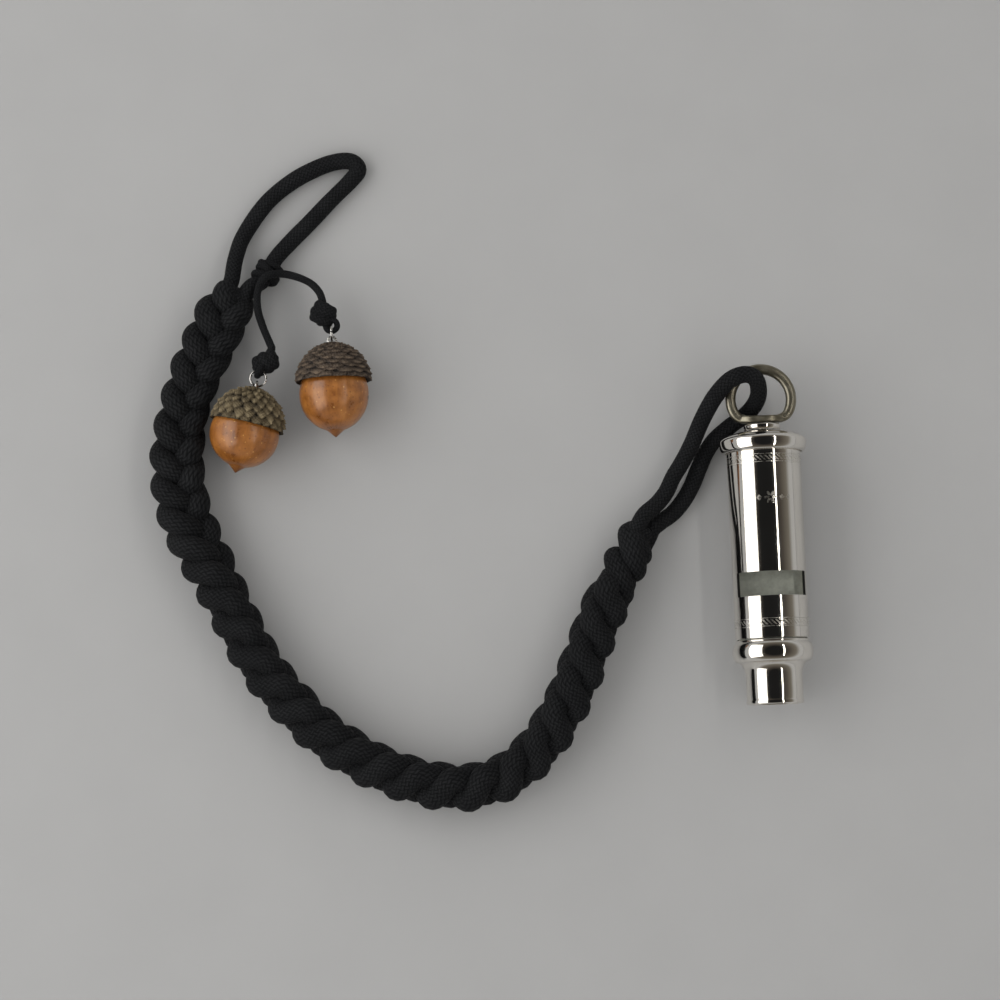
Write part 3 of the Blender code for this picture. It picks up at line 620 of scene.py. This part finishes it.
def make_braid():
    """Three fat cords in a flat plait: its face is up beside the charms, its edge is up after that."""
    step = 0.45 * MM
    middle = smooth_route(BRAID_ROUTE, step)
    length = path_length(middle)
    along = np.linspace(0, length, len(middle))
    outer = unit(np.cross(tangents(middle), UP))
    share = np.clip((along - FACE_TURN[0]) / (FACE_TURN[1] - FACE_TURN[0]), 0, 1)
    share = share * share * (3 - 2 * share)
    face = np.radians(FACE_TILT[0] + (FACE_TILT[1] - FACE_TILT[0]) * share)
    across = np.cos(face)[:, None] * outer + np.sin(face)[:, None] * UP
    depth = -np.sin(face)[:, None] * outer + np.cos(face)[:, None] * UP
    swing, dip, turn_length = (pair[0] + (pair[1] - pair[0]) * share
                               for pair in (STRAND_SWING, STRAND_DIP, STRAND_TURN))
    swing = swing - NARROWING[0] * np.exp(-((along - NARROWING[1]) / NARROWING[2]) ** 2)
    near_end = np.clip(np.minimum(along, length - along) / (5 * MM), 0, 1)
    spread = 0.5 + 0.5 * np.sin(near_end * math.pi / 2)

    def sway(turn):
        return swing * spread * (np.sin(turn) - 0.16 * (1 - share) * np.cos(2 * turn))

    def plunge(turn):
        return -dip * spread * (np.sin(2 * turn) - 0.24 * share * np.cos(4 * turn))

    lowest = np.min([np.sin(face) * sway(turn) + np.cos(face) * plunge(turn)
                     for turn in np.linspace(0, math.tau, 48)], axis=0)
    lift = STRAND_D / 2 * 1.05 + FLOOR_GAP - lowest - middle[:, 2]
    middle = middle + UP * np.maximum(lift, 0)[:, None]
    wound = FIRST_TURN + np.concatenate([[0], np.cumsum(math.tau * step / turn_length[1:])])
    parts = []
    for strand in range(3):
        turn = wound + math.tau * strand / 3
        line = middle + across * sway(turn)[:, None] + depth * plunge(turn)[:, None]
        count = len(line)
        thick = STRAND_D / 2 * waver(count, step, 0.03, 11 + strand, 9 * MM)
        wide = STRAND_D / 2 * waver(count, step, 0.04, 31 + strand, 7 * MM)
        parts.append(tube(line, transported(line), thick, wide, 32, STRAND_D))
    return add_mesh("plait", *join_parts(parts), PLAIT_SHEATH, "lanyard")


# the end knot's turns: place along it, tilt in degrees, half length, half height and radius in mm
END_TURNS = ((0.06, 52, 5.1, 3.2, 2.85), (0.74, 38, 4.0, 3.0, 2.2), (0.56, 56, 5.0, 3.3, 3.0))


def make_end_knot():
    """Slanting turns of the cord round the strands' ends."""
    start = Vector(BRAID_ROUTE[-1])
    legs = (Vector(WHISTLE_LOOP_ROUTE[0]) + Vector(WHISTLE_LOOP_ROUTE[-1])) / 2
    way = (legs - start).normalized()
    length = (legs - start).length
    side = way.cross(Vector((0, 0, 1))).normalized()
    up = Vector((0, 0, 1))
    core = np.array([tuple(start + way * (length * t)) for t in np.linspace(-0.16, 0.98, 24)])
    bulge = 3.2 * MM * (0.85 + 0.15 * np.sin(np.linspace(0, math.pi, 24)))
    parts = [tube(core, transported(core), bulge, bulge, 24, 6.8 * MM)]
    for where, tilt, half_long, half_up, radius in END_TURNS:
        centre = start + way * (length * where)
        lean = math.radians(tilt)
        long_way = side * math.cos(lean) - way * math.sin(lean)
        loop = np.array([tuple(centre + long_way * (half_long * MM * math.cos(a))
                               + up * (half_up * MM * math.sin(a))
                               + way * (0.4 * MM * math.sin(2 * a))) for a in circle(96)])
        parts.append(tube(loop, unit(loop - np.array(tuple(centre))), radius * MM * 0.95,
                          radius * MM * 1.08, 26, STRAND_D, closed=True))
    verts, faces, uv = join_parts(parts)
    lift = max(0.0, FLOOR_GAP - min(v[2] for v in verts))
    verts = [(x, y, z + lift) for x, y, z in verts]
    return add_mesh("end_knot", verts, faces, uv, PLAIT_SHEATH, "lanyard")


def make_cord(name, route, diameter, finish, seed, sides=28):
    """A cord's tube, its girth a little uneven."""
    spacing = diameter * 0.10
    points = smooth_route(route, spacing)
    thick, wide = (diameter / 2 * waver(len(points), spacing, 0.04, seed + k, 2.2 * diameter)
                   for k in range(2))
    return add_mesh(name, *tube(points, transported(points), thick, wide, sides, diameter), finish,
                    "lanyard")


def extended(route, reach):
    """The route with each end carried on, so that it sinks into the piece it comes out of."""
    first = Vector(route[0])
    last = Vector(route[-1])
    before = first + (first - Vector(route[1])).normalized() * reach
    after = last + (last - Vector(route[-2])).normalized() * reach
    return [tuple(before)] + list(route) + [tuple(after)]


def make_wrap():
    """Three turns of thin cord round the hand loop's leg, with a crossing on top."""
    spot = np.array(HAND_LOOP_ROUTE[15])
    way = unit(np.array(HAND_LOOP_ROUTE[14]) - np.array(HAND_LOOP_ROUTE[16]))
    up = unit(UP - way * UP.dot(way))
    side = np.cross(way, up)
    parts = []
    half = 0.78 * MM                    # half the thickness of a turn
    radius = CORD_D / 2 + half
    for offset, slant in ((-1.55, 0.5), (0.1, -0.35), (1.65, 0.45)):
        loop = np.array([spot + side * radius * math.cos(a) + up * radius * math.sin(a)
                         + way * (offset + slant * math.cos(a)) * MM for a in circle(60)])
        parts.append(tube(loop, unit(loop - spot), half, 0.92 * MM, 16, CHARM_CORD_D, closed=True))
    cross = np.array([spot + side * radius * 1.05 * math.cos(a) + up * radius * 1.2 * math.sin(a)
                      + way * (-1.5 + 3.0 * (a - 0.3) / 2.5) * MM for a in np.linspace(0.3, 2.8, 34)])
    parts.append(tube(cross, unit(cross - spot), 0.8 * MM, 0.9 * MM, 16, CHARM_CORD_D))
    verts, faces, uv = join_parts(parts)
    verts = [(x, y, max(z, 0.05 * MM)) for x, y, z in verts]
    return add_mesh("wrap_turns", verts, faces, uv, FINE_SHEATH, "lanyard")


def make_charm_knot(name, centre, size, turn, cord_end, eye, level):
    """A fat knot of thin cord: slanting turns pulled tight on a core, and the eye for the jump ring."""
    centre = np.array(centre)
    c, s = math.cos(turn), math.sin(turn)
    long_way = np.array([c, s, 0.0])
    side_way = np.array([-s, c, 0.0])
    half = np.array(size) / 2
    t = np.linspace(-0.97, 0.97, 26)
    line = centre + np.outer(half[0] * 0.9 * t, long_way)
    round_off = np.sqrt(1 - t ** 2)
    parts = [tube(line, np.tile(UP, (len(t), 1)), half[2] * 0.93 * round_off, half[1] * 0.93 * round_off,
                  28, CHARM_CORD_D)]
    for where, slant in ((-0.48, 0.6), (0.04, -0.4), (0.50, 0.5)):
        girth = math.sqrt(1 - (where * 0.9) ** 2)
        hoop = np.array([centre + long_way * half[0] * (where + 0.16 * slant * math.cos(a + 0.7))
                         + side_way * (half[1] * girth - 0.95 * MM) * math.cos(a)
                         + UP * (half[2] * girth - 0.95 * MM) * math.sin(a) for a in circle(72)])
        parts.append(tube(hoop, unit(hoop - centre - long_way * half[0] * where), 1.0 * MM, 1.35 * MM,
                          18, CHARM_CORD_D, closed=True))
    lead = smooth_route([cord_end, tuple(np.array(cord_end) * 0.5 + centre * 0.5), tuple(centre)], 0.3 * MM)
    flare = np.linspace(1.0, 1.45, len(lead)) * MM
    parts.append(tube(lead, transported(lead), flare, flare, 18, CHARM_CORD_D))
    way = unit(np.array(eye) - centre)
    flat = unit(np.array([way[0], way[1], 0.0]))
    hang = UP if level else np.array([-flat[1], flat[0], 0.0])
    ring = np.array([np.array(eye) + flat * 1.5 * MM * math.cos(a) + hang * 1.5 * MM * math.sin(a)
                     for a in circle(72)])
    parts.append(tube(ring, unit(ring - np.array(eye)), 0.78 * MM, 0.8 * MM, 14, 1.6 * MM, closed=True))
    return add_mesh(name, *join_parts(parts), FINE_SHEATH, "lanyard")


braid = make_braid()
end_knot = make_end_knot()
hand_route = extended(HAND_LOOP_ROUTE, 3.5 * MM)
hand_loop = make_cord("hand_loop_cord", hand_route, CORD_D, SHEATH, 21)
whistle_route = extended(WHISTLE_LOOP_ROUTE, 3.0 * MM)
whistle_loop = make_cord("whistle_loop_cord", whistle_route, CORD_D, SHEATH, 31)
charm_cord = make_cord("charm_cord_line", CHARM_CORD_ROUTE, CHARM_CORD_D, FINE_SHEATH, 41, 18)
wrap = make_wrap()
for piece, node in ((braid, "lanyard_braid"), (end_knot, "braid_end_knot"), (hand_loop, "hand_loop"),
                    (whistle_loop, "whistle_loop"), (charm_cord, "charm_cord"), (wrap, "charm_wrap")):
    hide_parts(node)


# ---- charms -----------------------------------------------------------------------------------

CUP_R = 10.1 * MM
CUP_RIM = 10.6 * MM
NUT_R = 9.0 * MM
NUT_TOP = 4.4 * MM
NUT_POINT = 1.7 * MM
DIMPLE_R = 1.95 * MM
JUMP_R = 2.05 * MM          # middle line of the split ring
EYE_R = 1.1 * MM            # middle line of the wire eye


def set_attribute(obj, name, values):
    layer = obj.data.attributes.new(name, "FLOAT", "POINT")
    layer.data.foreach_set("value", np.asarray(values, dtype=np.float32))


def scale_height(turn, level, columns, rows, overlap, sharpness, seed):
    """Height, 0 to 1, of overlapping scales. level runs 0 at the crown to 1 at the rim."""
    rng = np.random.default_rng(seed)
    jitter = rng.uniform(-1, 1, (rows + 4, columns, 4))
    best = np.zeros_like(turn)
    pitch = 1.0 / rows
    for row in range(-1, rows + 1):
        shift = 0.5 * (row % 2)
        cell = turn / math.tau * columns - shift
        for nudge in (0, 1):
            column = np.floor(cell).astype(int) + nudge
            own = jitter[row + 1, column % columns]
            x = cell - column + 0.20 * own[:, 0]
            start = (row + 0.20 * own[:, 1]) * pitch
            t = (level - start) / (pitch * overlap * (1 + 0.18 * own[:, 2]))
            reach = np.clip(1 - np.clip(t, 0, 1) ** sharpness, 0, 1) * 0.60
            inside = (t > 0) & (t < 1) & (np.abs(x) < reach)
            ridge = 1 - 0.35 * (np.abs(x) / np.maximum(reach, 1e-6)) ** 2
            height = (0.18 + 0.82 * np.clip(t, 0, 1) ** 0.8) * ridge * (1 + 0.12 * own[:, 3])
            best = np.where(inside, np.maximum(best, height), best)
    return best


def make_cup(name, body, place, nut_length, columns, rows, overlap, sharpness, relief, finish, seed):
    """A cup of overlapping scales, rolled in at the rim, with a dimple for the screw eye."""
    steps = 384
    turns = circle(steps)
    outline = []
    for t in np.linspace(DIMPLE_R / CUP_R, 1, 110):
        height = CUP_RIM - 1.2 * MM - 9.1 * MM * (1 - t ** 2.2) ** 0.62
        outline.append((CUP_R * t, height))
    outline += [(CUP_R, height) for height in np.linspace(CUP_RIM - 1.1 * MM, CUP_RIM - 0.3 * MM, 6)]
    outline = np.array(outline)
    lengths = np.concatenate([[0], np.cumsum(np.linalg.norm(np.diff(outline, axis=0), axis=1))])
    marks = np.linspace(0, lengths[-1], 150)
    radius = np.interp(marks, lengths, outline[:, 0])
    height = np.interp(marks, lengths, outline[:, 1])
    level = marks / lengths[-1]
    slope = unit(np.gradient(np.stack([radius, height], axis=1), axis=0))
    grid_turn, grid_level = np.meshgrid(turns, level)
    raised = scale_height(grid_turn.ravel(), grid_level.ravel(), columns, rows, overlap, sharpness, seed)
    raised = raised.reshape(grid_turn.shape)
    fade = np.clip(grid_level / 0.05, 0, 1)     # smooth at the crown, round the dimple
    rng = np.random.default_rng(seed + 3)
    grit = sum(0.045 * MM * np.sin(k * grid_turn + m * grid_level + shift) for k, m, shift in zip(
        rng.integers(14, 90, 9), rng.uniform(-130, 130, 9), rng.uniform(0, math.tau, 9)))
    push = (raised - 1.05) * relief * fade + grit * fade
    out_r = radius[:, None] + push * slope[:, 1][:, None]
    at_rim = np.clip((grid_level - 0.9) / 0.1, 0, 1)
    ragged = 0.32 * MM * np.sin(columns * grid_turn + 1.3 * np.sin(5 * grid_turn)) * at_rim
    out_h = height[:, None] - push * slope[:, 0][:, None] + ragged
    rows_xyz = [np.stack([out_r * np.cos(grid_turn), out_r * np.sin(grid_turn), out_h], axis=2)]
    inside = [(CUP_R - 0.35 * MM, CUP_RIM), (CUP_R - 0.75 * MM, CUP_RIM - 0.1 * MM)]
    middle = NUT_TOP + nut_length / 2
    half = nut_length / 2 + 0.3 * MM
    for a in np.linspace(math.acos((middle - CUP_RIM + 0.4 * MM) / half), 0.12, 12):
        inside.append(((NUT_R + 0.3 * MM) * math.sin(a), middle - half * math.cos(a)))
    inside += [(0.65 * MM, 1.9 * MM), (1.2 * MM, 1.75 * MM), (DIMPLE_R - 0.15 * MM, 1.6 * MM)]
    for r, h in inside:
        rows_xyz.append(np.stack([r * np.cos(turns), r * np.sin(turns), np.full(steps, h)], axis=1)[None])
    grid = np.concatenate(rows_xyz)
    count = len(grid)
    verts = placed(grid.reshape(-1, 3), place)
    cup = add_mesh(name, verts, grid_faces(count, steps, closed=True), None, finish, body)
    values = np.full(count * steps, 0.25)
    values[:raised.size] = raised.ravel()
    set_attribute(cup, "raised", values)
    tidy_normals(cup)
    return cup


def make_nut(name, body, place, nut_length, finish, seed):
    """The nut: a full oval with faint ridges, and a pointed tip."""
    steps = 160
    middle = NUT_TOP + nut_length / 2
    half = nut_length / 2
    end = NUT_TOP + nut_length + NUT_POINT
    angles = np.linspace(0.03, math.pi - 0.03, 110)
    heights = middle - half * np.cos(angles)
    heights = np.concatenate([heights, np.linspace(heights[-1], end - 0.12 * MM, 16)[1:]])
    radii = []
    for height in heights:
        body_r = NUT_R * math.sqrt(max(0.0, 1 - ((height - middle) / half) ** 2))
        tip = min(1.15 * (end - height), NUT_R * 0.3) if height > middle else 0.0
        blend = 0.35 * MM
        gap = max(0.0, 1 - abs(body_r - tip) / blend)
        radii.append(max(body_r, tip) + 0.25 * blend * gap * gap)
    phases = np.random.default_rng(seed).uniform(0, math.tau, 3)
    verts = []
    along = []
    round_way = []
    for radius, height in zip(radii, heights):
        level = (height - NUT_TOP) / (end - NUT_TOP)
        for k in range(steps):
            turn = math.tau * k / steps
            ripple = 1 + 0.0045 * math.cos(3 * turn + phases[0]) + 0.0030 * math.cos(7 * turn + phases[1])
            ripple += 0.0016 * math.cos(19 * turn + phases[2] + 2 * level)
            verts.append((radius * ripple * math.cos(turn), radius * ripple * math.sin(turn), height))
            along.append(level)
            round_way.append(abs(turn / math.pi - 1))
    faces = grid_faces(len(heights), steps)
    faces += [tuple(range(steps))[::-1], tuple(range(len(verts) - steps, len(verts)))]
    nut = add_mesh(name, placed(verts, place), faces, None, finish, body)
    set_attribute(nut, "along", along)
    set_attribute(nut, "turn", round_way)
    tidy_normals(nut)
    return nut


def make_jump_ring(name, body, centre, way, level):
    """A split ring of wire, its gap at one side."""
    other = Vector((-way.y, way.x, 0)) if level else Vector((0, 0, 1))
    angles = np.radians(np.linspace(96, 96 + 352, 96))
    loop = np.array([tuple(centre + way * (JUMP_R * math.cos(a)) + other * (JUMP_R * math.sin(a)))
                     for a in angles])
    wire = tube(loop, unit(loop - np.array(tuple(centre))), 0.3 * MM, 0.3 * MM, 16, 0.6 * MM, blunt=0.15)
    return add_mesh(name, *wire, WIRE, body, sharp=50)


def make_screw_eye(name, body, place, stands):
    """A wire eye whose ends meet above a stem that goes into the acorn."""
    angles = np.radians(np.linspace(-75, 245, 60))
    loop = [(EYE_R * math.cos(a), 0.0, -EYE_R * math.sin(a)) for a in angles]
    stem = [(0.0, 0.0, EYE_R * 1.35 + 0.2 * MM), (0.0, 0.0, 3.0 * MM), (0.0, 0.0, 7.4 * MM)]
    bend = [(-0.25 * MM, 0.0, EYE_R * 1.16)]
    line = smooth_route(loop + bend + stem, 0.12 * MM)
    if stands:
        line = np.stack([-line[:, 1], line[:, 0], line[:, 2]], axis=1)
    line = np.array(placed(line, place))
    normals = transported(line, (0.31, 0.52, 0.79))     # along no stretch of the wire
    wire = tube(line, normals, 0.35 * MM, 0.35 * MM, 16, 0.7 * MM, blunt=0.15)
    return add_mesh(name, *wire, WIRE, body, sharp=50)


def make_charm(side, knot, size, turn, eye, hang, level, cord_end, nut_length, cup_look, nut_finish,
               seed):
    """All the pieces of one charm; hang is the way it points, level is whether its ring lies flat."""
    way = Vector((math.cos(hang), math.sin(hang), 0))
    eye = Vector(eye)
    middle = eye + way * JUMP_R
    turned_down = Matrix.Rotation(hang, 4, "Z") @ Matrix.Rotation(math.pi / 2, 4, "Y")
    place = Matrix.Translation(middle + way * JUMP_R) @ turned_down
    acorn = side + "_acorn"
    made = {
        "charm_knot_": make_charm_knot("knot_" + side, knot, size, turn, cord_end, tuple(eye), level),
        "jump_ring_": make_jump_ring("split_ring_" + side, side + "_link", middle, way, level),
        "screw_eye_": make_screw_eye("wire_eye_" + side, acorn, place, not level),
        "acorn_cap_": make_cup("cup_" + side, acorn, place, nut_length, *cup_look, seed),
        "acorn_nut_": make_nut("nut_" + side, acorn, place, nut_length, nut_finish, seed + 5)}
    for node, piece in made.items():
        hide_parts(node + side)
    return list(made.values())


# Cup colours: dark is painted shade between the scales, middle the scales' own colour, pale partly painted
# highlight.
left_cup = cup_material("cup_olive", (0.011, 0.008, 0.004), (0.074, 0.054, 0.026), (0.225, 0.178, 0.102))
right_cup = cup_material("cup_brown", (0.007, 0.005, 0.004), (0.040, 0.027, 0.018), (0.135, 0.098, 0.066))
left_charm = make_charm(
    "left", (-0.1280, 0.0496, 0.0092), (7.8 * MM, 6.0 * MM, 5.4 * MM), math.radians(24),
    (-0.1294, 0.0474, AXIS_CHARM_Z), math.radians(-105.2), True, CHARM_CORD_ROUTE[0], 17.2 * MM,
    (20, 7, 1.65, 2.4, 1.2 * MM, left_cup), nut_material("nut_left", 0.0), 51)
right_charm = make_charm(
    "right", (-0.1126, 0.0618, 0.0092), (6.6 * MM, 7.0 * MM, 6.0 * MM), math.radians(68),
    (-0.1105, 0.0586, AXIS_CHARM_Z), math.radians(-89.5), False, CHARM_CORD_ROUTE[-1], 19.2 * MM,
    (15, 11, 1.35, 4.5, 0.85 * MM, right_cup), nut_material("nut_right", 37.0), 71)


# ---- whistle ----------------------------------------------------------------------------------

MOUTH_Y = -44.0 * MM
ALONG_Y = Matrix.Translation((0, MOUTH_Y, AXIS_Z)) @ Matrix.Rotation(-math.pi / 2, 4, "X")


def turned_piece(name, node, outline, finish, steps=224):
    """A turned piece on the whistle's axis, in place of its node."""
    verts, faces = revolve([(r * MM, h * MM) for r, h in outline], steps)
    piece = add_mesh(name, placed(verts, ALONG_Y), faces, None, finish, "whistle")
    tidy_normals(piece)
    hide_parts(node)
    return piece


def cap_dome(radius):
    """The dome's height over the mouthpiece's end at a radius, in mm."""
    return 67.6 + 3.0 * math.sqrt(max(0.0, 1 - (radius / 11.25) ** 2))


def make_mouthpiece():
    outline = [(6.7, 0.15), (6.85, 0.0), (7.15, 0.0)]
    outline += arc((7.3, 0.62), (0.15, 0.55), -60, 60, 8)
    outline += [(7.3, 1.35), (7.3, 3.0), (7.3, 5.5)]
    outline += arc((9.5, 7.2), (-2.2, 3.6), 0, 84, 24)
    outline += arc((9.15, 13.35), (1.3, 2.6), -82, 70, 40)
    outline += [(9.58, 16.15), (9.5, 16.4), (8.95, 16.3), (8.95, 15.4), (6.7, 8.6), (6.7, 4.0)]
    return turned_piece("mouth_shell", "mouthpiece", outline, NICKEL)


def make_cap():
    outline = [(9.85, 64.95), (9.95, 64.8), (10.2, 64.8)]
    outline += arc((10.3, 67.6), (0.95, 2.75), -84, 0, 20)
    outline += [(11.25 * math.cos(t), 67.6 + 3.0 * math.sin(t)) for t in np.linspace(0.06, 1.44, 34)]
    outline += [(1.4, cap_dome(1.4)), (1.4, 65.8), (8.65, 65.8), (8.65, 67.4), (9.85, 67.4)]
    return turned_piece("cap_dome", "top_cap", outline, NICKEL)


def make_boss():
    outline = [(radius, cap_dome(radius) + 0.3) for radius in np.linspace(1.4, 4.7, 8)]
    outline += arc((4.3, 71.7), (0.5, 0.5), -20, 90, 10)
    outline += [(3.0, 72.2), (1.4, 72.2)]
    return turned_piece("boss_washer", "swivel_boss", outline, NICKEL, 128)


def make_rivet():
    outline = [(0, 64.7), (1.9, 64.7), (2.1, 64.9), (2.1, 65.5), (1.1, 65.5), (1.1, 73.4),
               (1.82, 74.1), (1.86, 74.22), (1.6, 74.28), (0, 74.32)]
    return turned_piece("rivet_pin", "swivel_rivet", outline, DULL, 64)


def make_barrel():
    """The tube with its two windows, each end's edge eased."""
    outline = [(8.95, 16.8), (9.05, 16.7), (9.45, 16.7), (BARREL_R_MM, 16.8), (BARREL_R_MM, 40.0),
               (BARREL_R_MM, 67.0), (9.45, 67.1), (8.95, 67.1)]
    barrel = turned_piece("barrel_tube", "barrel", outline, ETCHED, 256)
    low = MOUTH_Y + 27.4 * MM
    high = MOUTH_Y + 33.6 * MM
    for side in (1, -1):
        inner = AXIS_Z + side * 4.0 * MM
        outer = AXIS_Z + side * 20 * MM
        corners = [(x, y, z) for x in (-20 * MM, 20 * MM) for y in (low, high) for z in (inner, outer)]
        sides = [(0, 1, 3, 2), (4, 6, 7, 5), (0, 4, 5, 1), (2, 3, 7, 6), (0, 2, 6, 4), (1, 5, 7, 3)]
        cut(barrel, corners, sides)
    barrel.data.shade_smooth()
    barrel.data.set_sharp_from_angle(angle=math.radians(35))
    return barrel


RING_Y = 34.8 * MM


def ring_point(angle):
    """The ring's middle line, half width, half breadth and squareness at an angle, in mm."""
    round_r = 7.85
    flat_r = 5.35
    down = max(0.0, -math.sin(angle))
    pull = (down / flat_r) ** 8 + (1 / round_r) ** 8
    reach = pull ** (-1 / 8)
    across = abs(reach * math.cos(angle)) / (5.6 * 0.95)
    foot = 0.0 if down == 0 else max(0.0, 1 - across ** 3) * min(1.0, down * 1.4) ** 4
    half_width = (2.7 - 0.8 * min(1.0, down * 1.25) ** 4) / 2
    half_breadth = (2.7 + 2.9 * foot) / 2
    return np.array([reach * math.cos(angle), reach * math.sin(angle)]), half_width, half_breadth, foot


def make_ring():
    """The D-shaped ring, its foot drilled and countersunk for the rivet."""
    steps = 192
    sides = 32
    rings = []
    for k in range(steps):
        angle = math.tau * (k + 0.5) / steps
        spot, half_width, half_breadth, foot = ring_point(angle)
        ahead = ring_point(angle + 0.02)[0] - ring_point(angle - 0.02)[0]
        outward = np.array([ahead[1], -ahead[0]]) / np.linalg.norm(ahead)
        power = 2 / (2.5 + 3.5 * foot)
        section = []
        for j in range(sides):
            turn = math.tau * (j + 0.5) / sides
            wide = math.copysign(abs(math.cos(turn)) ** power, math.cos(turn))
            tall = math.copysign(abs(math.sin(turn)) ** power, math.sin(turn))
            flat = spot + outward * half_width * wide
            section.append((flat[0] * MM, RING_Y + flat[1] * MM, AXIS_Z + half_breadth * tall * MM))
        rings.append(section)
    verts, faces, _ = skin(np.array(rings), closed=True)
    ring = add_mesh("d_ring", verts, faces, None, DULL, "ring")
    tidy_normals(ring)
    drill = [(0, 71.5), (1.4, 71.5), (1.4, 73.2), (3.4, 75.6), (0, 75.6)]
    tool, tool_faces = revolve([(r * MM, h * MM) for r, h in drill], 48)
    cut(ring, placed(tool, ALONG_Y), tool_faces)
    ring.data.shade_smooth()
    ring.data.set_sharp_from_angle(angle=math.radians(38))
    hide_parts("suspension_ring")
    return ring


for make in (make_mouthpiece, make_cap, make_boss, make_rivet, make_barrel, make_ring):
    make()
for node in ("windway_block", "partition_plate", "chamber_stop"):
    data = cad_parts[node].data
    data.materials.clear()
    data.materials.append(BLOCK)


# ---- paths along the soft pieces --------------------------------------------------------------

braid_path = smooth_route(BRAID_ROUTE, 3 * MM)
hand_path = smooth_route(hand_route, 2 * MM)
loop_path = smooth_route(whistle_route, 2 * MM)
charm_path = smooth_route(CHARM_CORD_ROUTE, 1.5 * MM)


# ---- floor, light and world -------------------------------------------------------------------

def make_floor():
    n = Nodes("pale_floor")
    cloud = n.noise(40.0, 3.0, 0.5)
    tone = n.ramp(cloud, [(0.3, 0.318), (0.7, 0.328)])
    made = n.set(Base_Color=tone, Roughness=0.9)
    mesh = bpy.data.meshes.new("floor")
    half = 6.0
    mesh.from_pydata([(-half, -half, 0), (half, -half, 0), (half, half, 0), (-half, half, 0)], [],
                     [(0, 1, 2, 3)])
    mesh.materials.append(made)
    floor = link_object("floor", mesh)
    floor.location.z = -0.05 * MM


def area_light(name, spot, aim, size, power, colour, glossy=True):
    """A panel that faces a point; the first of its two sizes runs along world Y."""
    data = bpy.data.lights.new(name, "AREA")
    data.shape = "RECTANGLE"
    data.size, data.size_y = size
    data.energy = power
    data.color = colour
    obj = link_object(name, data)
    away = Vector(spot) - Vector(aim)
    obj.matrix_world = Matrix.Translation(spot) @ away.to_track_quat("Z", "Y").to_matrix().to_4x4()
    obj.visible_camera = False
    obj.visible_glossy = glossy


def make_world():
    """Pale round the horizon, dark overhead, as in a studio with a dark ceiling."""
    world = bpy.data.worlds.new("studio")
    bpy.context.scene.world = world
    world.use_nodes = True
    tree = world.node_tree
    tree.nodes.clear()
    coords = tree.nodes.new("ShaderNodeTexCoord")
    split = tree.nodes.new("ShaderNodeSeparateXYZ")
    band = tree.nodes.new("ShaderNodeValToRGB")
    back = tree.nodes.new("ShaderNodeBackground")
    out = tree.nodes.new("ShaderNodeOutputWorld")
    tree.links.new(coords.outputs["Generated"], split.inputs[0])
    tree.links.new(split.outputs[2], band.inputs[0])
    fill_ramp(band.color_ramp, [(0.0, 0.42), (0.22, (0.40, 0.40, 0.395)), (0.42, (0.17, 0.155, 0.13)),
                                (0.75, (0.07, 0.06, 0.05)), (0.90, 0.012)])
    tree.links.new(band.outputs[0], back.inputs[0])
    tree.links.new(back.outputs[0], out.inputs[0])


make_floor()
make_world()
area_light("overhead_panel", (-0.07, 0.01, 3.0), (-0.07, 0.01, 0), (24, 24), 1240, (1, 1, 1), glossy=False)
area_light("left_softbox", (-0.62, 0.05, 0.42), (0, 0.05, 0.01), (1.1, 0.55), 4.0, (1.0, 0.99, 0.97))
area_light("right_strip", (0.30, 0.0, 0.60), (0, 0.0, 0.01), (0.9, 0.035), 0.8, (1.0, 0.97, 0.92))
scene = bpy.context.scene
scene.view_settings.view_transform = "Standard"
scene.view_settings.look = "None"
